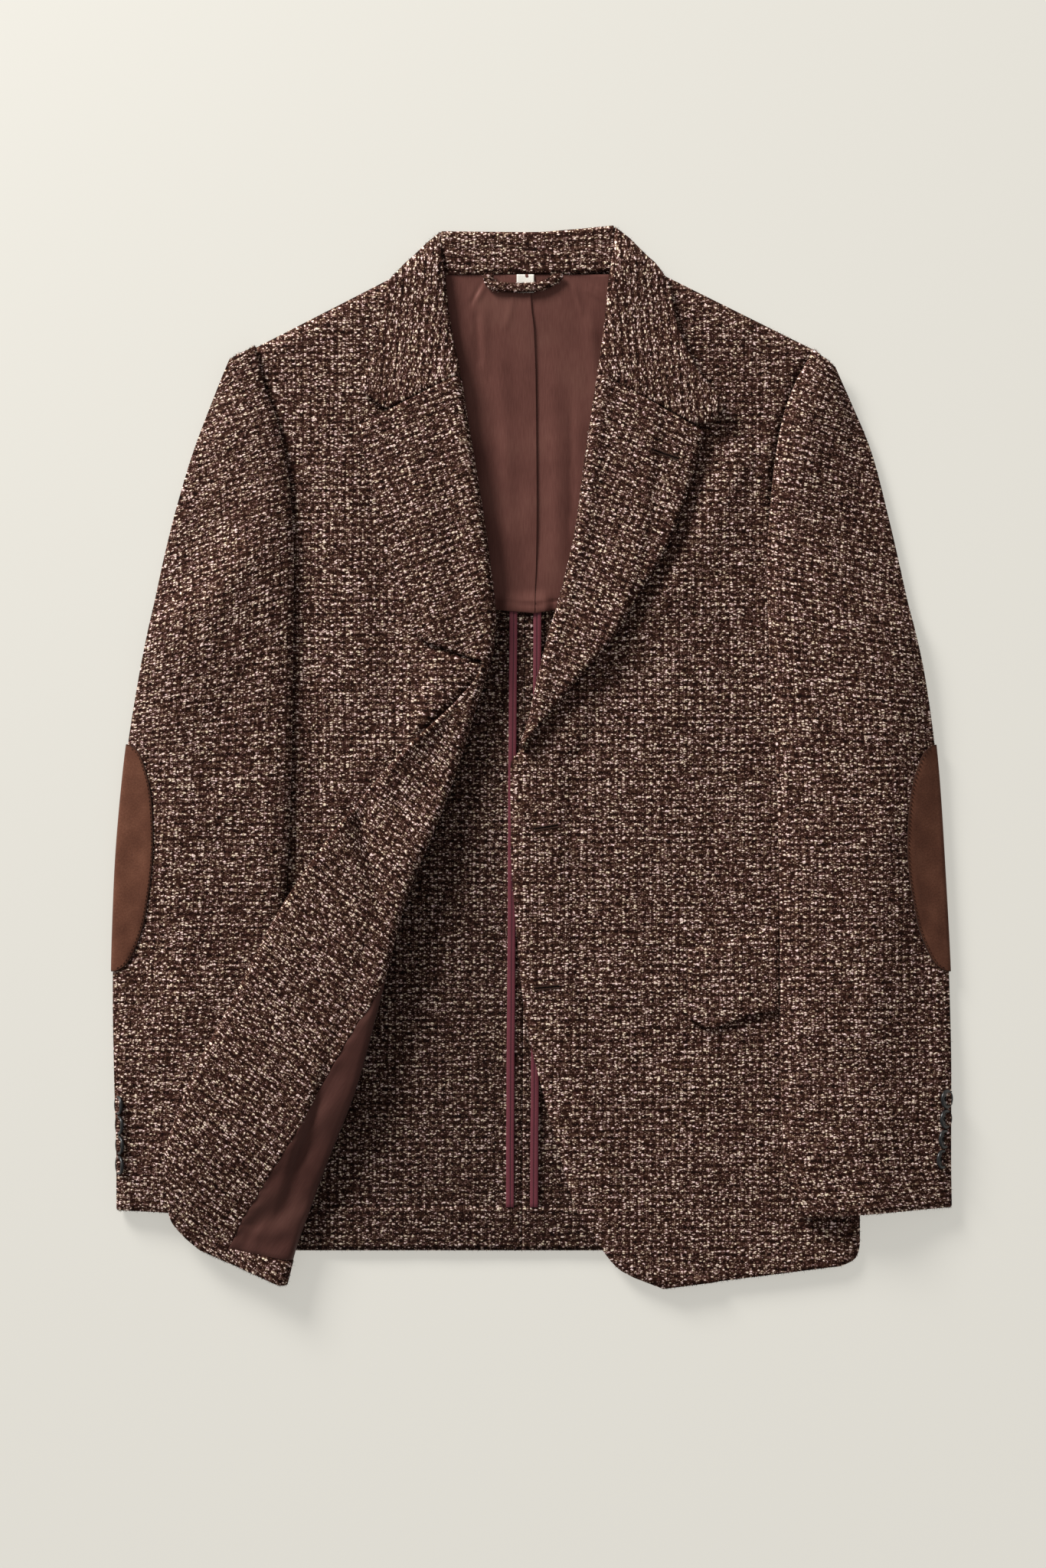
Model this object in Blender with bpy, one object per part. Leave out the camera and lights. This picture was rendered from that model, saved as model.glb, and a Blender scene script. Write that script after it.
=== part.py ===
"""A men's tweed sport coat lying on its back, front up, one front folded open.

Frame: X runs across the coat, with the wearer's right side at -X, Y runs up the coat from hem to
collar, and Z stands up from the surface it lies on. Every size and table is in millimetres, and the
meshes are made in metres. "Right" and "left" are always the wearer's.

The coat is a stack of sheets. The two back halves lie flat. On them lie the upper back lining, the
bound centre seam, then the fronts. Each front turns over at its roll line: above the break the turned
part is the lapel, and the right front stays folded open all the way down to its hem. The facing and
the lining wrap round the outside of that turn. The sleeves lie over the sides of the body.
"""

import math

import bmesh
import bpy
import numpy as np

MM = 0.001

# Wall thickness of each kind of piece.
BACK_WALL = 2.4
FRONT_WALL = 2.6
FACING_WALL = 2.0
LINING_WALL = 1.2
COLLAR_WALL = 3.2
COLLAR_BACK_WALL = 2.0
SLEEVE_WALL = 3.2
UNDER_SLEEVE_WALL = 3.0
PATCH_WALL = 1.2
FLAP_WALL = 2.2
LABEL_WALL = 0.6
LOOP_WALL = 2.6
GAP = 0.3  # between neighbouring pieces
LAID = 0.5  # under a sheet that lies on another

# Heights of the middle of a front's wall: over the open body, and where a facing lies under it.
FRONT_LEVEL = 6.5
FRONT_OVER_FACING = 9.1
BODY_TOP = 8.1  # what lies on the sides of the body starts here
SIDE_CURL = 8.0  # the side edges bend down to the surface within this width
EDGE_FOOT = 0.9

# The roll, where a front turns over: how far its outer face stands from the centre of the turn.
NEST = FRONT_WALL / 2 + 1.5 * GAP + FACING_WALL / 2  # from the middle of a front to that of its facing
ROLL_FRONT = 2.8
ROLL_FACING = ROLL_FRONT + NEST
ROLL = ROLL_FACING + FACING_WALL / 2
ROLL_CENTRE = FRONT_OVER_FACING + ROLL_FRONT
SETTLE = 25.0  # a turned front comes down onto what it lies on within this distance of the roll
STUB = 1.0  # length past the turn of an edge that is only partly turned

HEM_Y = -372.6
HEM_TURN_Y = -340.8
SEAM_ALLOWANCE = 12.0
BINDING_WIDTH = 5.5
ALLOWANCE_TOP = 3.6
HEM_TOP = 4.8
NECK_RISE = 2.3  # the back panel lies over the collar's fall there

CURL_IN = 9.0  # how far each fold of a sleeve reaches in before its top is nearly flat
CURL_OUT = 7.5
SLEEVE_TUCK = 5.0  # depth of the sleeve's lower curl
SLEEVE_SLOPE = 50.0  # a sleeve comes down from the body's side to the surface over this width
FACING_TUCK = 30.0  # width of facing hidden behind a front

BUTTON_RADIUS = 7.3
BUTTON_THICKNESS = 2.8
BUTTON_PITCH = 15.1
BUTTONS = 4

MIDDLE = (0.6, 0.9)  # middle of the whole outline, which becomes the origin

TWEED = (0.075, 0.042, 0.036)
TWEED_LIT = (0.095, 0.055, 0.046)
SATIN = (0.168, 0.065, 0.051)
BINDING = (0.127, 0.017, 0.032)
SUEDE = (0.162, 0.065, 0.037)
HORN = (0.018, 0.018, 0.019)
LABEL = (0.72, 0.70, 0.66)


def table(columns, rows):
    """A short table of sizes: one array for each named column."""
    return dict(zip(columns.split(), np.array(rows, float).T))


# Each front's outline. side: armhole and side seam. neck: the neck edge, under the collar. roll: where
# the front turns over. edge: the lapel's edge, and further down the front edge. lift: how far that edge
# stands off what it lies on.
RIGHT_NECK = table("side_x side_y neck_x neck_y", [
    (-222.4, 302.5, -90.2, 370.3),
    (-209.7, 288.5, -78.6, 348.9),
    (-201.0, 267.7, -73.9, 324.5),
    (-194.6, 247.9, -68.7, 301.3),
])
RIGHT_FRONT = table("side_x side_y roll_x roll_y edge_x edge_y lift tuck", [
    (-191.1, 235.2, -53.6, 286.2, -131.9, 249.1, 0.0, 30.0),
    (-186.5, 196.9, -47.3, 246.2, -121.5, 210.2, 1.0, 30.0),
    (-193.4, 160.9, -39.1, 196.9, -111.1, 173.7, 1.5, 30.0),
    (-229.4, 114.5, -31.6, 144.7, -98.3, 126.1, 1.0, 30.0),
    (-261.3, 91.3, -27.5, 104.1, -85.5, 91.3, 0.0, 30.0),
    (-265.9, 73.9, -29.3, 82.1, -57.7, 79.8, 0.0, 30.0),
    (-265.9, 62.3, -32.2, 70.5, -36.2, 69.3, 0.0, 30.0),
    (-264.2, 37.4, -41.5, 40.3, -57.7, 41.5, 3.0, 30.0),
    (-261.9, 5.5, -51.9, 5.5, -94.8, 6.7, 6.0, 30.0),
    (-257.2, -40.9, -68.1, -40.9, -137.8, -42.0, 5.0, 30.0),
    (-253.2, -110.5, -96.0, -110.5, -187.0, -110.5, 0.0, 26.0),
    (-250.8, -180.1, -113.4, -180.1, -224.7, -181.8, 0.0, 20.0),
    (-249.7, -249.7, -132.5, -249.7, -260.1, -250.8, 0.0, 14.0),
    (-249.1, -304.8, -154.0, -304.8, -276.4, -304.8, 0.0, 12.0),
    (-247.9, -342.5, -168.5, -344.2, -273.5, -344.8, 0.0, 12.0),
    (-246.8, -354.1, -177.2, -368.6, -263.0, -360.5, 0.0, 12.0),
    (-245.6, -361.0, -184.7, -397.0, -251.4, -370.3, 0.0, 12.0),
])
LEFT_NECK = table("side_x side_y neck_x neck_y", [
    (214.9, 306.5, 85.0, 370.9),
    (203.3, 289.7, 72.2, 348.9),
    (194.0, 267.7, 67.6, 324.5),
    (187.6, 247.9, 63.5, 303.6),
])
LEFT_FRONT = table("side_x side_y roll_x roll_y edge_x edge_y lift tuck", [
    (185.3, 235.2, 48.4, 287.4, 128.5, 245.0, 2.0, 30.0),
    (181.8, 199.8, 39.1, 225.9, 119.8, 213.1, 3.0, 30.0),
    (189.4, 159.2, 32.2, 173.7, 104.7, 167.9, 5.0, 30.0),
    (220.1, 118.6, 22.3, 130.2, 82.6, 128.5, 8.0, 30.0),
    (259.0, 91.3, 11.3, 91.3, 59.4, 89.6, 8.0, 30.0),
    (263.6, 69.3, 3.8, 62.3, 33.3, 58.9, 5.0, 30.0),
    (262.4, 40.3, -4.3, 25.8, 3.8, 24.1, 0.0, 30.0),
    (260.7, 14.2, -10.1, 10.1, -7.8, 8.4, 0.0, 30.0),
])
LEFT_EDGE = table("side_x side_y edge_x edge_y", [
    (259.5, -6.1, -15.9, -7.2),
    (252.0, -69.9, -15.4, -69.9),
    (247.9, -139.5, -10.7, -139.5),
    (246.8, -197.5, -4.4, -197.5),
    (247.4, -249.7, 7.8, -249.7),
    (247.9, -301.9, 21.8, -301.9),
    (247.9, -342.5, 34.5, -342.5),
    (247.9, -365.7, 50.8, -368.0),
    (245.0, -377.9, 67.6, -387.2),
    (235.8, -383.1, 98.9, -400.5),
])

# Each sleeve across its two folds: inner, over the body, and outer, with the tube's height at each.
RIGHT_SLEEVE = table("inner_x inner_y outer_x outer_y height outer_height", [
    (-208.5, 310.0, -228.8, 299.0, 7.4, 7.4),
    (-203.3, 283.9, -241.6, 269.4, 9.5, 9.5),
    (-191.1, 249.1, -257.2, 228.8, 10.0, 10.0),
    (-182.4, 196.9, -274.6, 167.9, 10.0, 10.5),
    (-180.1, 144.7, -287.4, 109.9, 10.0, 10.5),
    (-180.7, 75.1, -299.0, 51.9, 10.0, 10.5),
    (-181.8, -6.1, -308.3, -9.0, 10.0, 10.5),
    (-185.3, -93.1, -315.2, -93.1, 10.0, 10.5),
    (-190.5, -174.3, -317.5, -174.3, 10.0, 11.0),
    (-196.3, -238.1, -315.2, -238.1, 10.0, 14.5),
    (-201.0, -301.9, -312.5, -301.9, 10.5, 16.0),
    (-203.3, -346.0, -314.6, -340.8, 10.5, 14.0),
])
LEFT_SLEEVE = table("inner_x inner_y outer_x outer_y height outer_height", [
    (211.4, 307.1, 228.2, 293.2, 7.4, 7.4),
    (198.6, 283.9, 241.6, 265.3, 9.5, 9.5),
    (187.0, 249.1, 256.1, 230.5, 10.0, 10.0),
    (179.5, 194.0, 270.6, 174.9, 10.0, 10.5),
    (176.6, 141.8, 283.3, 118.6, 10.0, 10.5),
    (178.9, 69.3, 296.7, 58.9, 10.0, 10.5),
    (183.6, -6.1, 305.4, -6.1, 10.0, 10.5),
    (185.9, -93.1, 311.2, -93.1, 10.0, 10.5),
    (186.5, -174.3, 315.2, -174.3, 10.0, 11.0),
    (187.0, -238.1, 315.5, -238.1, 10.0, 14.5),
    (189.4, -301.9, 314.5, -301.9, 10.5, 16.0),
    (202.7, -346.5, 317.5, -338.4, 10.5, 14.0),
])

# Each collar leaf from its roll to its outer edge, with the height of its underside at the roll and of
# the middle of its wall at the edge.
RIGHT_COLLAR = table("roll_x roll_y edge_x edge_y base edge_z", [
    (-68.7, 397.0, -81.0, 386.5, 0.4, 2.4),
    (-68.1, 382.0, -90.4, 377.7, 5.0, 3.0),
    (-67.0, 370.9, -100.6, 367.4, 8.4, 10.2),
    (-65.2, 354.7, -108.7, 357.0, 8.6, 10.4),
    (-62.3, 330.3, -112.2, 331.5, 9.0, 10.4),
    (-57.7, 305.9, -120.9, 300.1, 10.2, 11.0),
    (-54.2, 290.6, -130.2, 278.6, 11.4, 12.6),
])
LEFT_COLLAR = table("roll_x roll_y edge_x edge_y base edge_z", [
    (61.2, 400.8, 73.9, 390.5, 0.4, 2.4),
    (60.5, 386.0, 85.0, 379.5, 5.0, 3.0),
    (58.9, 370.9, 95.4, 368.6, 8.4, 10.2),
    (56.5, 354.7, 102.9, 354.7, 8.6, 10.4),
    (54.2, 330.3, 108.2, 328.0, 9.0, 10.4),
    (51.3, 305.9, 122.7, 294.3, 10.2, 12.0),
    (48.4, 291.6, 144.7, 268.5, 11.4, 15.0),
])
# How far the lowest row of each leaf dips below a straight line, down to the notch, by the share of
# the way from roll to edge.
RIGHT_COLLAR_DIP = table("share dip", [(0.0, 0.0), (0.74, 17.8), (1.0, 0.0)])
LEFT_COLLAR_DIP = table("share dip", [(0.0, 0.0), (0.57, 15.5), (0.75, 21.5), (0.9, 18.0), (1.0, 2.5)])

# The inside of the collar at the back neck: neck seam, stand seam and fold.
NECK_BAND = table("x seam_y stand_y fold_y", [
    (-66.2, 365.4, 385.2, 398.2),
    (-33.0, 366.0, 384.8, 397.8),
    (0.0, 366.2, 384.8, 397.6),
    (30.0, 366.2, 386.2, 399.6),
    (58.4, 368.8, 388.6, 402.6),
])
FALL_Y = 354.7  # lower edge of the collar's fall, behind the neck

# The upper back lining, from its centre seam out to where the fronts hide it.
BACK_LINING = table("seam_x seam_y right_x right_y left_x left_y", [
    (-3.2, 365.0, -66.0, 365.0, 58.2, 365.0),
    (-1.8, 353.0, -66.0, 353.0, 57.4, 353.0),
    (-0.6, 337.0, -67.0, 337.0, 58.0, 337.0),
    (0.9, 325.0, -70.0, 325.0, 62.0, 325.0),
    (2.4, 285.0, -80.0, 285.0, 74.0, 285.0),
    (2.9, 240.0, -76.0, 240.0, 68.0, 240.0),
    (3.2, 190.0, -68.0, 190.0, 60.0, 190.0),
    (2.6, 145.0, -60.0, 145.0, 50.0, 145.0),
    (1.9, 127.0, -55.0, 127.0, 46.0, 127.0),
    (1.7, 116.0, -52.0, 118.0, 44.0, 119.5),
    (1.5, 109.3, -50.0, 114.0, 43.0, 116.5),
])

# The back halves: each row runs out level from the centre seam, then falls to the shoulder or side.
BACK_ROWS = table("centre_y side_y", [
    (365.0, 297.5),
    (353.0, 285.0),
    (337.0, 268.0),
    (290.0, 235.0),
    (230.0, 197.0),
    (165.0, 160.9),
    (117.0, 114.5),
    (115.0, 103.0),
    (92.0, 91.3),
    (74.0, 73.9),
    (5.5, 5.5),
    (-110.0, -110.0),
    (-250.0, -250.0),
    (HEM_TURN_Y + 0.3, HEM_TURN_Y + 0.3),
    (HEM_TURN_Y, HEM_TURN_Y),
    (HEM_Y, HEM_Y),
])
NECK_HALF_WIDTH = 86.0
CENTRE_SEAM = table("y x", [(HEM_Y, -8.2), (HEM_TURN_Y, -8.1), (110.0, -5.5), (365.0, -3.2)])

# The open right front's facing: its inner edge, from where it leaves the fold down to the hem.
FACING_INNER = table("y x", [(-377.0, -229.0), (-349.4, -219.0), (-317.0, -200.4), (-281.0, -178.9),
                             (-246.8, -158.6), (-211.4, -138.3), (-189.4, -125.6), (-150.0, -108.0)])

POCKET_FLAP = table("x top_y bottom_y", [
    (118.0, -144.5, -196.0),
    (134.0, -143.0, -203.6),
    (150.0, -138.5, -199.0),
    (168.0, -132.5, -193.0),
    (185.2, -126.5, -190.5),
])

HANGER_PATH = table("x y", [(-33.4, 364.6), (-33.0, 360.0), (-29.8, 356.6), (-22.0, 355.2), (-10.0, 354.8),
                            (2.0, 355.4), (12.0, 358.4), (21.0, 364.8)])
HANGER_WIDTH = 7.0
LABEL_BOX = (-11.9, 0.9, 351.5, 365.0)

# The elbow patch: stations of the sleeve that it spans, and how far it reaches in from the fold.
PATCH = table("y reach", [(7.8, 3.0), (3.0, 9.5), (-9.0, 16.5), (-35.0, 24.0), (-76.5, 28.5), (-118.0, 24.5),
                          (-144.0, 16.5), (-156.0, 9.5), (-160.2, 3.0)])

RIGHT_BUTTON_Y = -262.5
LEFT_BUTTON_Y = -257.8
RIGHT_BUTTON_TILT = 64.0
LEFT_BUTTON_TILT = 54.0


# ---------------------------------------------------------------- curves


def ease(share):
    """0 to 1 in a smooth step as share goes from 0 to 1."""
    share = np.clip(share, 0.0, 1.0)
    return share * share * (3.0 - 2.0 * share)


def quarter(share):
    """The height of a quarter circle as share goes from its foot, 0, to its top, 1."""
    return np.sqrt(np.clip(1.0 - (1.0 - np.clip(share, 0.0, 1.0)) ** 2, 0.0, 1.0))


def smooth(values, stations):
    """A curve through evenly spaced values, without overshoot, read at stations counted in rows."""
    steps = np.diff(values)
    slopes = np.concatenate([steps[:1], np.zeros(len(steps) - 1), steps[-1:]])
    before, after = steps[:-1], steps[1:]
    same_way = before * after > 0
    slopes[1:-1][same_way] = 2 * (before * after)[same_way] / (before + after)[same_way]
    stations = np.asarray(stations, float)
    row = np.clip(stations.astype(int), 0, len(values) - 2)
    share = stations - row
    rest = 1.0 - share
    return (values[row] * (1 + 2 * share) * rest ** 2 + values[row + 1] * (1 + 2 * rest) * share ** 2
            + slopes[row] * share * rest ** 2 - slopes[row + 1] * rest * share ** 2)


def read(rows, stations, *columns):
    return [smooth(rows[column], stations) for column in columns]


def by_height(curve, y):
    """x of a table of y and x, at heights y."""
    order = np.argsort(curve["y"])
    return np.interp(y, curve["y"][order], curve["x"][order])


# ---------------------------------------------------------------- meshes


def material(name, colour, roughness):
    made = bpy.data.materials.get(name)
    if made is None:
        made = bpy.data.materials.new(name)
        made.use_nodes = True
        shader = made.node_tree.nodes["Principled BSDF"]
        shader.inputs["Base Color"].default_value = (*colour, 1.0)
        shader.inputs["Roughness"].default_value = roughness
        shader.inputs["Metallic"].default_value = 0.0
        made.diffuse_color = (*colour, 1.0)
    return made


def add_object(name, points, faces, finish, sharp_angle=math.radians(50)):
    """One closed mesh as a named object, its faces turned to point out."""
    mesh = bpy.data.meshes.new(name)
    shape = bmesh.new()
    corners = [shape.verts.new(point) for point in (np.asarray(points) - (*MIDDLE, 0.0)) * MM]
    for face in faces:
        shape.faces.new([corners[index] for index in face])
    bmesh.ops.recalc_face_normals(shape, faces=shape.faces)
    if shape.calc_volume(signed=True) < 0:
        bmesh.ops.reverse_faces(shape, faces=shape.faces)
    shape.to_mesh(mesh)
    shape.free()
    mesh.shade_smooth()
    mesh.set_sharp_from_angle(angle=sharp_angle)
    mesh.materials.append(finish)
    made = bpy.data.objects.new(name, mesh)
    bpy.context.scene.collection.objects.link(made)
    return made


def normals(grid, keep):
    """The direction across the sheet at each grid point, from the cells around it that are kept."""
    across = grid[1:, 1:] - grid[:-1, :-1]
    back = grid[1:, :-1] - grid[:-1, 1:]
    cell = np.cross(across, back) * keep[..., None]
    total = np.zeros_like(grid)
    total[:-1, :-1] += cell
    total[1:, :-1] += cell
    total[:-1, 1:] += cell
    total[1:, 1:] += cell
    length = np.linalg.norm(total, axis=2, keepdims=True)
    return total / np.where(length == 0, 1, length)


def shell(name, upper, lower, finish, keep=None):
    """A closed wall between two grids of points. keep marks the cells that are cloth."""
    rows, columns = upper.shape[:2]
    if keep is None:
        keep = np.ones((rows - 1, columns - 1), bool)
    number = np.arange(rows * columns).reshape(rows, columns)
    below = rows * columns
    faces = []
    for i, j in zip(*np.nonzero(keep)):
        a, b, c, d = number[i, j], number[i, j + 1], number[i + 1, j + 1], number[i + 1, j]
        faces += [(a, b, c), (a, c, d), (c + below, b + below, a + below), (d + below, c + below, a + below)]
        for start, end, (row, column) in ((a, b, (i - 1, j)), (b, c, (i, j + 1)),
                                          (c, d, (i + 1, j)), (d, a, (i, j - 1))):
            inside = 0 <= row < rows - 1 and 0 <= column < columns - 1 and keep[row, column]
            if not inside:
                faces.append((end, start, start + below, end + below))
    points = np.concatenate([upper.reshape(-1, 3), lower.reshape(-1, 3)])
    points[:, 2] = np.maximum(points[:, 2], 0.0)
    used = sorted({index for face in faces for index in face})
    place = {index: count for count, index in enumerate(used)}
    return add_object(name, points[used], [[place[index] for index in face] for face in faces], finish)


def wall(name, middle, thickness, finish, keep=None):
    """A wall of even thickness about a grid of points."""
    if keep is None:
        keep = np.ones((middle.shape[0] - 1, middle.shape[1] - 1), bool)
    offset = normals(middle, keep) * thickness / 2
    return shell(name, middle + offset, middle - offset, finish, keep)


def slab(name, x, y, bottom, thickness, finish):
    """A sheet whose underside has heights bottom, and that is as thick as stated straight up."""
    bottom = np.broadcast_to(bottom, x.shape)
    lower = np.stack([x, y, bottom], axis=2)
    upper = np.stack([x, y, bottom + thickness], axis=2)
    return shell(name, upper, lower, finish)


# ---------------------------------------------------------------- the body's sides


def side_curve(hand):
    """Height and distance from the middle of a front's armhole and side, from hem to shoulder."""
    tables = [RIGHT_NECK, RIGHT_FRONT] if hand < 0 else [LEFT_NECK, LEFT_FRONT, LEFT_EDGE]
    y = np.concatenate([rows["side_y"] for rows in tables])
    x = np.concatenate([np.abs(rows["side_x"]) for rows in tables])
    return {"y": y, "x": x}


def inset_side(hand, distance):
    """The same curve, moved in towards the middle of the body."""
    curve = side_curve(hand)
    order = np.argsort(curve["y"])
    y, x = curve["y"][order], curve["x"][order]
    ahead = np.gradient(np.stack([x, y]), axis=1)
    ahead /= np.hypot(*ahead)
    return {"y": y + ahead[0] * distance, "x": x - ahead[1] * distance}


def body_support(hand, x, y):
    """What a sleeve lies on: the body, and past its side a slope down to the surface."""
    side = side_curve(hand)
    reach = np.maximum(np.maximum(by_height(side, y - 9.0), by_height(side, y + 9.0)), by_height(side, y))
    return BODY_TOP * (1.0 - ease((np.abs(x) - reach - 3.0) / SLEEVE_SLOPE))


# ---------------------------------------------------------------- sleeves


def sleeve_table(hand):
    return RIGHT_SLEEVE if hand < 0 else LEFT_SLEEVE


def sleeve_station(hand, y):
    """The station at which the outer fold has this height."""
    outer = sleeve_table(hand)["outer_y"]
    return np.interp(y, outer[::-1], np.arange(len(outer), dtype=float)[::-1])


def sleeve_rise(rows, stations, from_outer):
    """Height of the middle of the top wall over the sleeve's underside, clear of its folds."""
    height, outer_height = read(rows, stations, "height", "outer_height")
    grown = height + (outer_height - height) * (1.0 - ease(from_outer / 55.0))
    widest = 0.45 * grown
    rise = grown - SLEEVE_WALL / 2 - widest
    return widest, rise * (0.68 + 0.32 * (1.0 - (1.0 - np.clip(from_outer / 45.0, 0, 1)) ** 2))


def sleeve_point(hand, stations, round_):
    """Points of the top sleeve's wall, one for each station and its place round_ the section.

    round_ runs from 0 at the lower inner edge: 1 is the inner fold, 2 to 3 the top, 4 the outer fold and
    5 the lower outer edge.
    """
    rows = sleeve_table(hand)
    inner_x, inner_y, outer_x, outer_y = read(rows, stations, "inner_x", "inner_y", "outer_x", "outer_y")
    round_ = np.broadcast_to(round_, inner_x.shape)
    width = np.hypot(outer_x - inner_x, outer_y - inner_y)
    fit = np.clip(width / 42.0, 0.4, 1.0)
    inner_half = round_ < 2.5
    place = np.where(inner_half, round_, 5.0 - round_)
    curl = np.where(inner_half, CURL_IN, CURL_OUT) * fit
    half = SLEEVE_WALL / 2
    low, high = place < 1.0, place < 2.0
    angle = np.where(low, 1.0 - place, np.where(high, place - 1.0, 1.0)) * math.pi / 2
    reach = half + np.where(low, SLEEVE_TUCK * fit, curl) * (1.0 - np.cos(angle))
    flat = width - 2 * half - (CURL_IN + CURL_OUT) * fit
    onward = np.where(inner_half, round_ - 2.0, 3.0 - round_)
    reach = reach + flat * np.where(high, 0.0, onward)
    from_inner = np.where(inner_half, reach, width - reach)
    widest, rise = sleeve_rise(rows, stations, width - from_inner)
    height = np.where(low, widest - (widest - half) * np.sin(angle), widest + rise * np.sin(angle))
    share = from_inner / width
    x = inner_x + (outer_x - inner_x) * share
    y = inner_y + (outer_y - inner_y) * share
    return np.stack([x, y, body_support(hand, x, y) + height], axis=-1)


SLEEVE_ROUND = (0.0, 0.5, 1.0, 1.35, 1.7, 2.0, 2.2, 2.4, 2.6, 2.8, 3.0, 3.3, 3.6, 4.0, 4.5, 5.0)
SLEEVE_STATIONS = np.array([0, 0.5, 1, 2, 3, 3.5, 4, 4.25, 4.5, 4.75, 5, 5.5, 6, 6.35, 6.7, 7, 7.5, 8, 8.6, 9, 10,
                            11], float)


def top_sleeve(name, hand, finish):
    grid = np.stack([sleeve_point(hand, SLEEVE_STATIONS, place) for place in SLEEVE_ROUND], axis=1)
    return wall(name, grid, SLEEVE_WALL, finish)


def under_sleeve(name, hand, finish):
    """The flat sheet between the top sleeve's two lower curls, thicker where the cuff's vent laps."""
    stations = SLEEVE_STATIONS[2:]
    rows = sleeve_table(hand)
    inner_x, inner_y, outer_x, outer_y, tall = read(
        rows, stations, "inner_x", "inner_y", "outer_x", "outer_y", "outer_height")
    width = np.hypot(outer_x - inner_x, outer_y - inner_y)
    inset = SLEEVE_WALL / 2 + SLEEVE_TUCK + 1.0
    shares = np.array([0.0, 0.22, 0.45, 0.7, 0.88, 1.0])
    reach = inset + (width - 2 * inset)[:, None] * shares
    along = reach / width[:, None]
    x = inner_x[:, None] + (outer_x - inner_x)[:, None] * along
    y = inner_y[:, None] + (outer_y - inner_y)[:, None] * along
    layers = UNDER_SLEEVE_WALL + (tall - 10.5).clip(0)[:, None] * np.array([0, 0, 0, 0.5, 1.0, 0.2])
    return slab(name, x, y, body_support(hand, x, y), layers, finish)


def sleeve_top(hand, x, y):
    """A smooth cover over the sleeve, for what lies on it."""
    rows = sleeve_table(hand)
    order = np.argsort(rows["inner_y"])
    inner = np.interp(y, rows["inner_y"][order], np.abs(rows["inner_x"])[order])
    height = np.interp(y, rows["inner_y"][order], rows["outer_height"][order])
    onto = ease((np.abs(x) - inner + 29.0) / 22.0)
    cuff = ease((y - rows["inner_y"][-1] + 36.0) / 32.0)
    return (body_support(hand, x, y) + np.maximum(height - 2.5, 10.5)) * onto * cuff


# ---------------------------------------------------------------- fronts


def front_height(from_end, tuck):
    """Height of the middle of a front's wall: it lies higher where its facing is under it."""
    return FRONT_LEVEL + (FRONT_OVER_FACING - FRONT_LEVEL) * (1.0 - ease((from_end - tuck - 4.0) / 10.0))


def chest(x, y):
    """The soft fullness of the chest over the body."""
    across = (np.abs(x) - 112.0) / 45.0
    along = (y - 120.0) / 120.0
    return 1.6 * np.exp(-across ** 2 - along ** 2) * (1.0 - ease((np.abs(x) - 135.0) / 35.0))


def lower_leg(side_x, side_y, end_x, end_y, tuck, top_curl, turned):
    """The part of a front that lies on the back, from its side to its roll, neck or front edge."""
    length = np.hypot(end_x - side_x, end_y - side_y)
    foot = FRONT_WALL / 2
    from_side = [np.full_like(length, foot + step) for step in (0.0, 1.2, 4.0, SIDE_CURL)]
    hidden_end = length - tuck - 16.0
    from_side += [foot + SIDE_CURL + (hidden_end - foot - SIDE_CURL) * share for share in (0.33, 0.67, 1.0)]
    from_side += [length - tuck - 4.0, length]
    columns = []
    for reach in from_side:
        share = reach / length
        x = side_x + (end_x - side_x) * share
        y = side_y + (end_y - side_y) * share
        full = FRONT_LEVEL + (front_height(length - reach, tuck) - FRONT_LEVEL) * turned + chest(x, y)
        curl = quarter((reach - foot) / SIDE_CURL) * top_curl
        columns.append(np.stack([x, y, EDGE_FOOT + (full - EDGE_FOOT) * curl], axis=-1))
    return columns


def turn(hand, rows, stations, radius, side):
    """The arc of the roll: points of a wall at this radius, and where its turned leg starts and ends.

    An edge that lies closer to the roll than the turn needs is only partly turned.
    """
    roll_x, roll_y, edge_x, edge_y = read(rows, stations, "roll_x", "roll_y", "edge_x", "edge_y")
    span = np.abs(edge_x - roll_x)
    centre_x = roll_x + hand * ROLL
    partly = span < ROLL + STUB
    angle = np.where(partly, np.pi - np.arcsin(np.clip(1.0 - span / (ROLL + STUB), 0, 1)), np.pi)
    arc = []
    for share in (0.2, 0.4, 0.6, 0.8, 1.0):
        at = angle * share
        arc.append(np.stack([centre_x - hand * radius * np.sin(at), roll_y,
                             ROLL_CENTRE - radius * np.cos(at)], axis=-1))
    ahead = np.stack([-hand * np.cos(angle), np.zeros_like(angle), np.sin(angle)], axis=-1)
    return centre_x, roll_y, edge_x, edge_y, partly, arc, ahead


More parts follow.
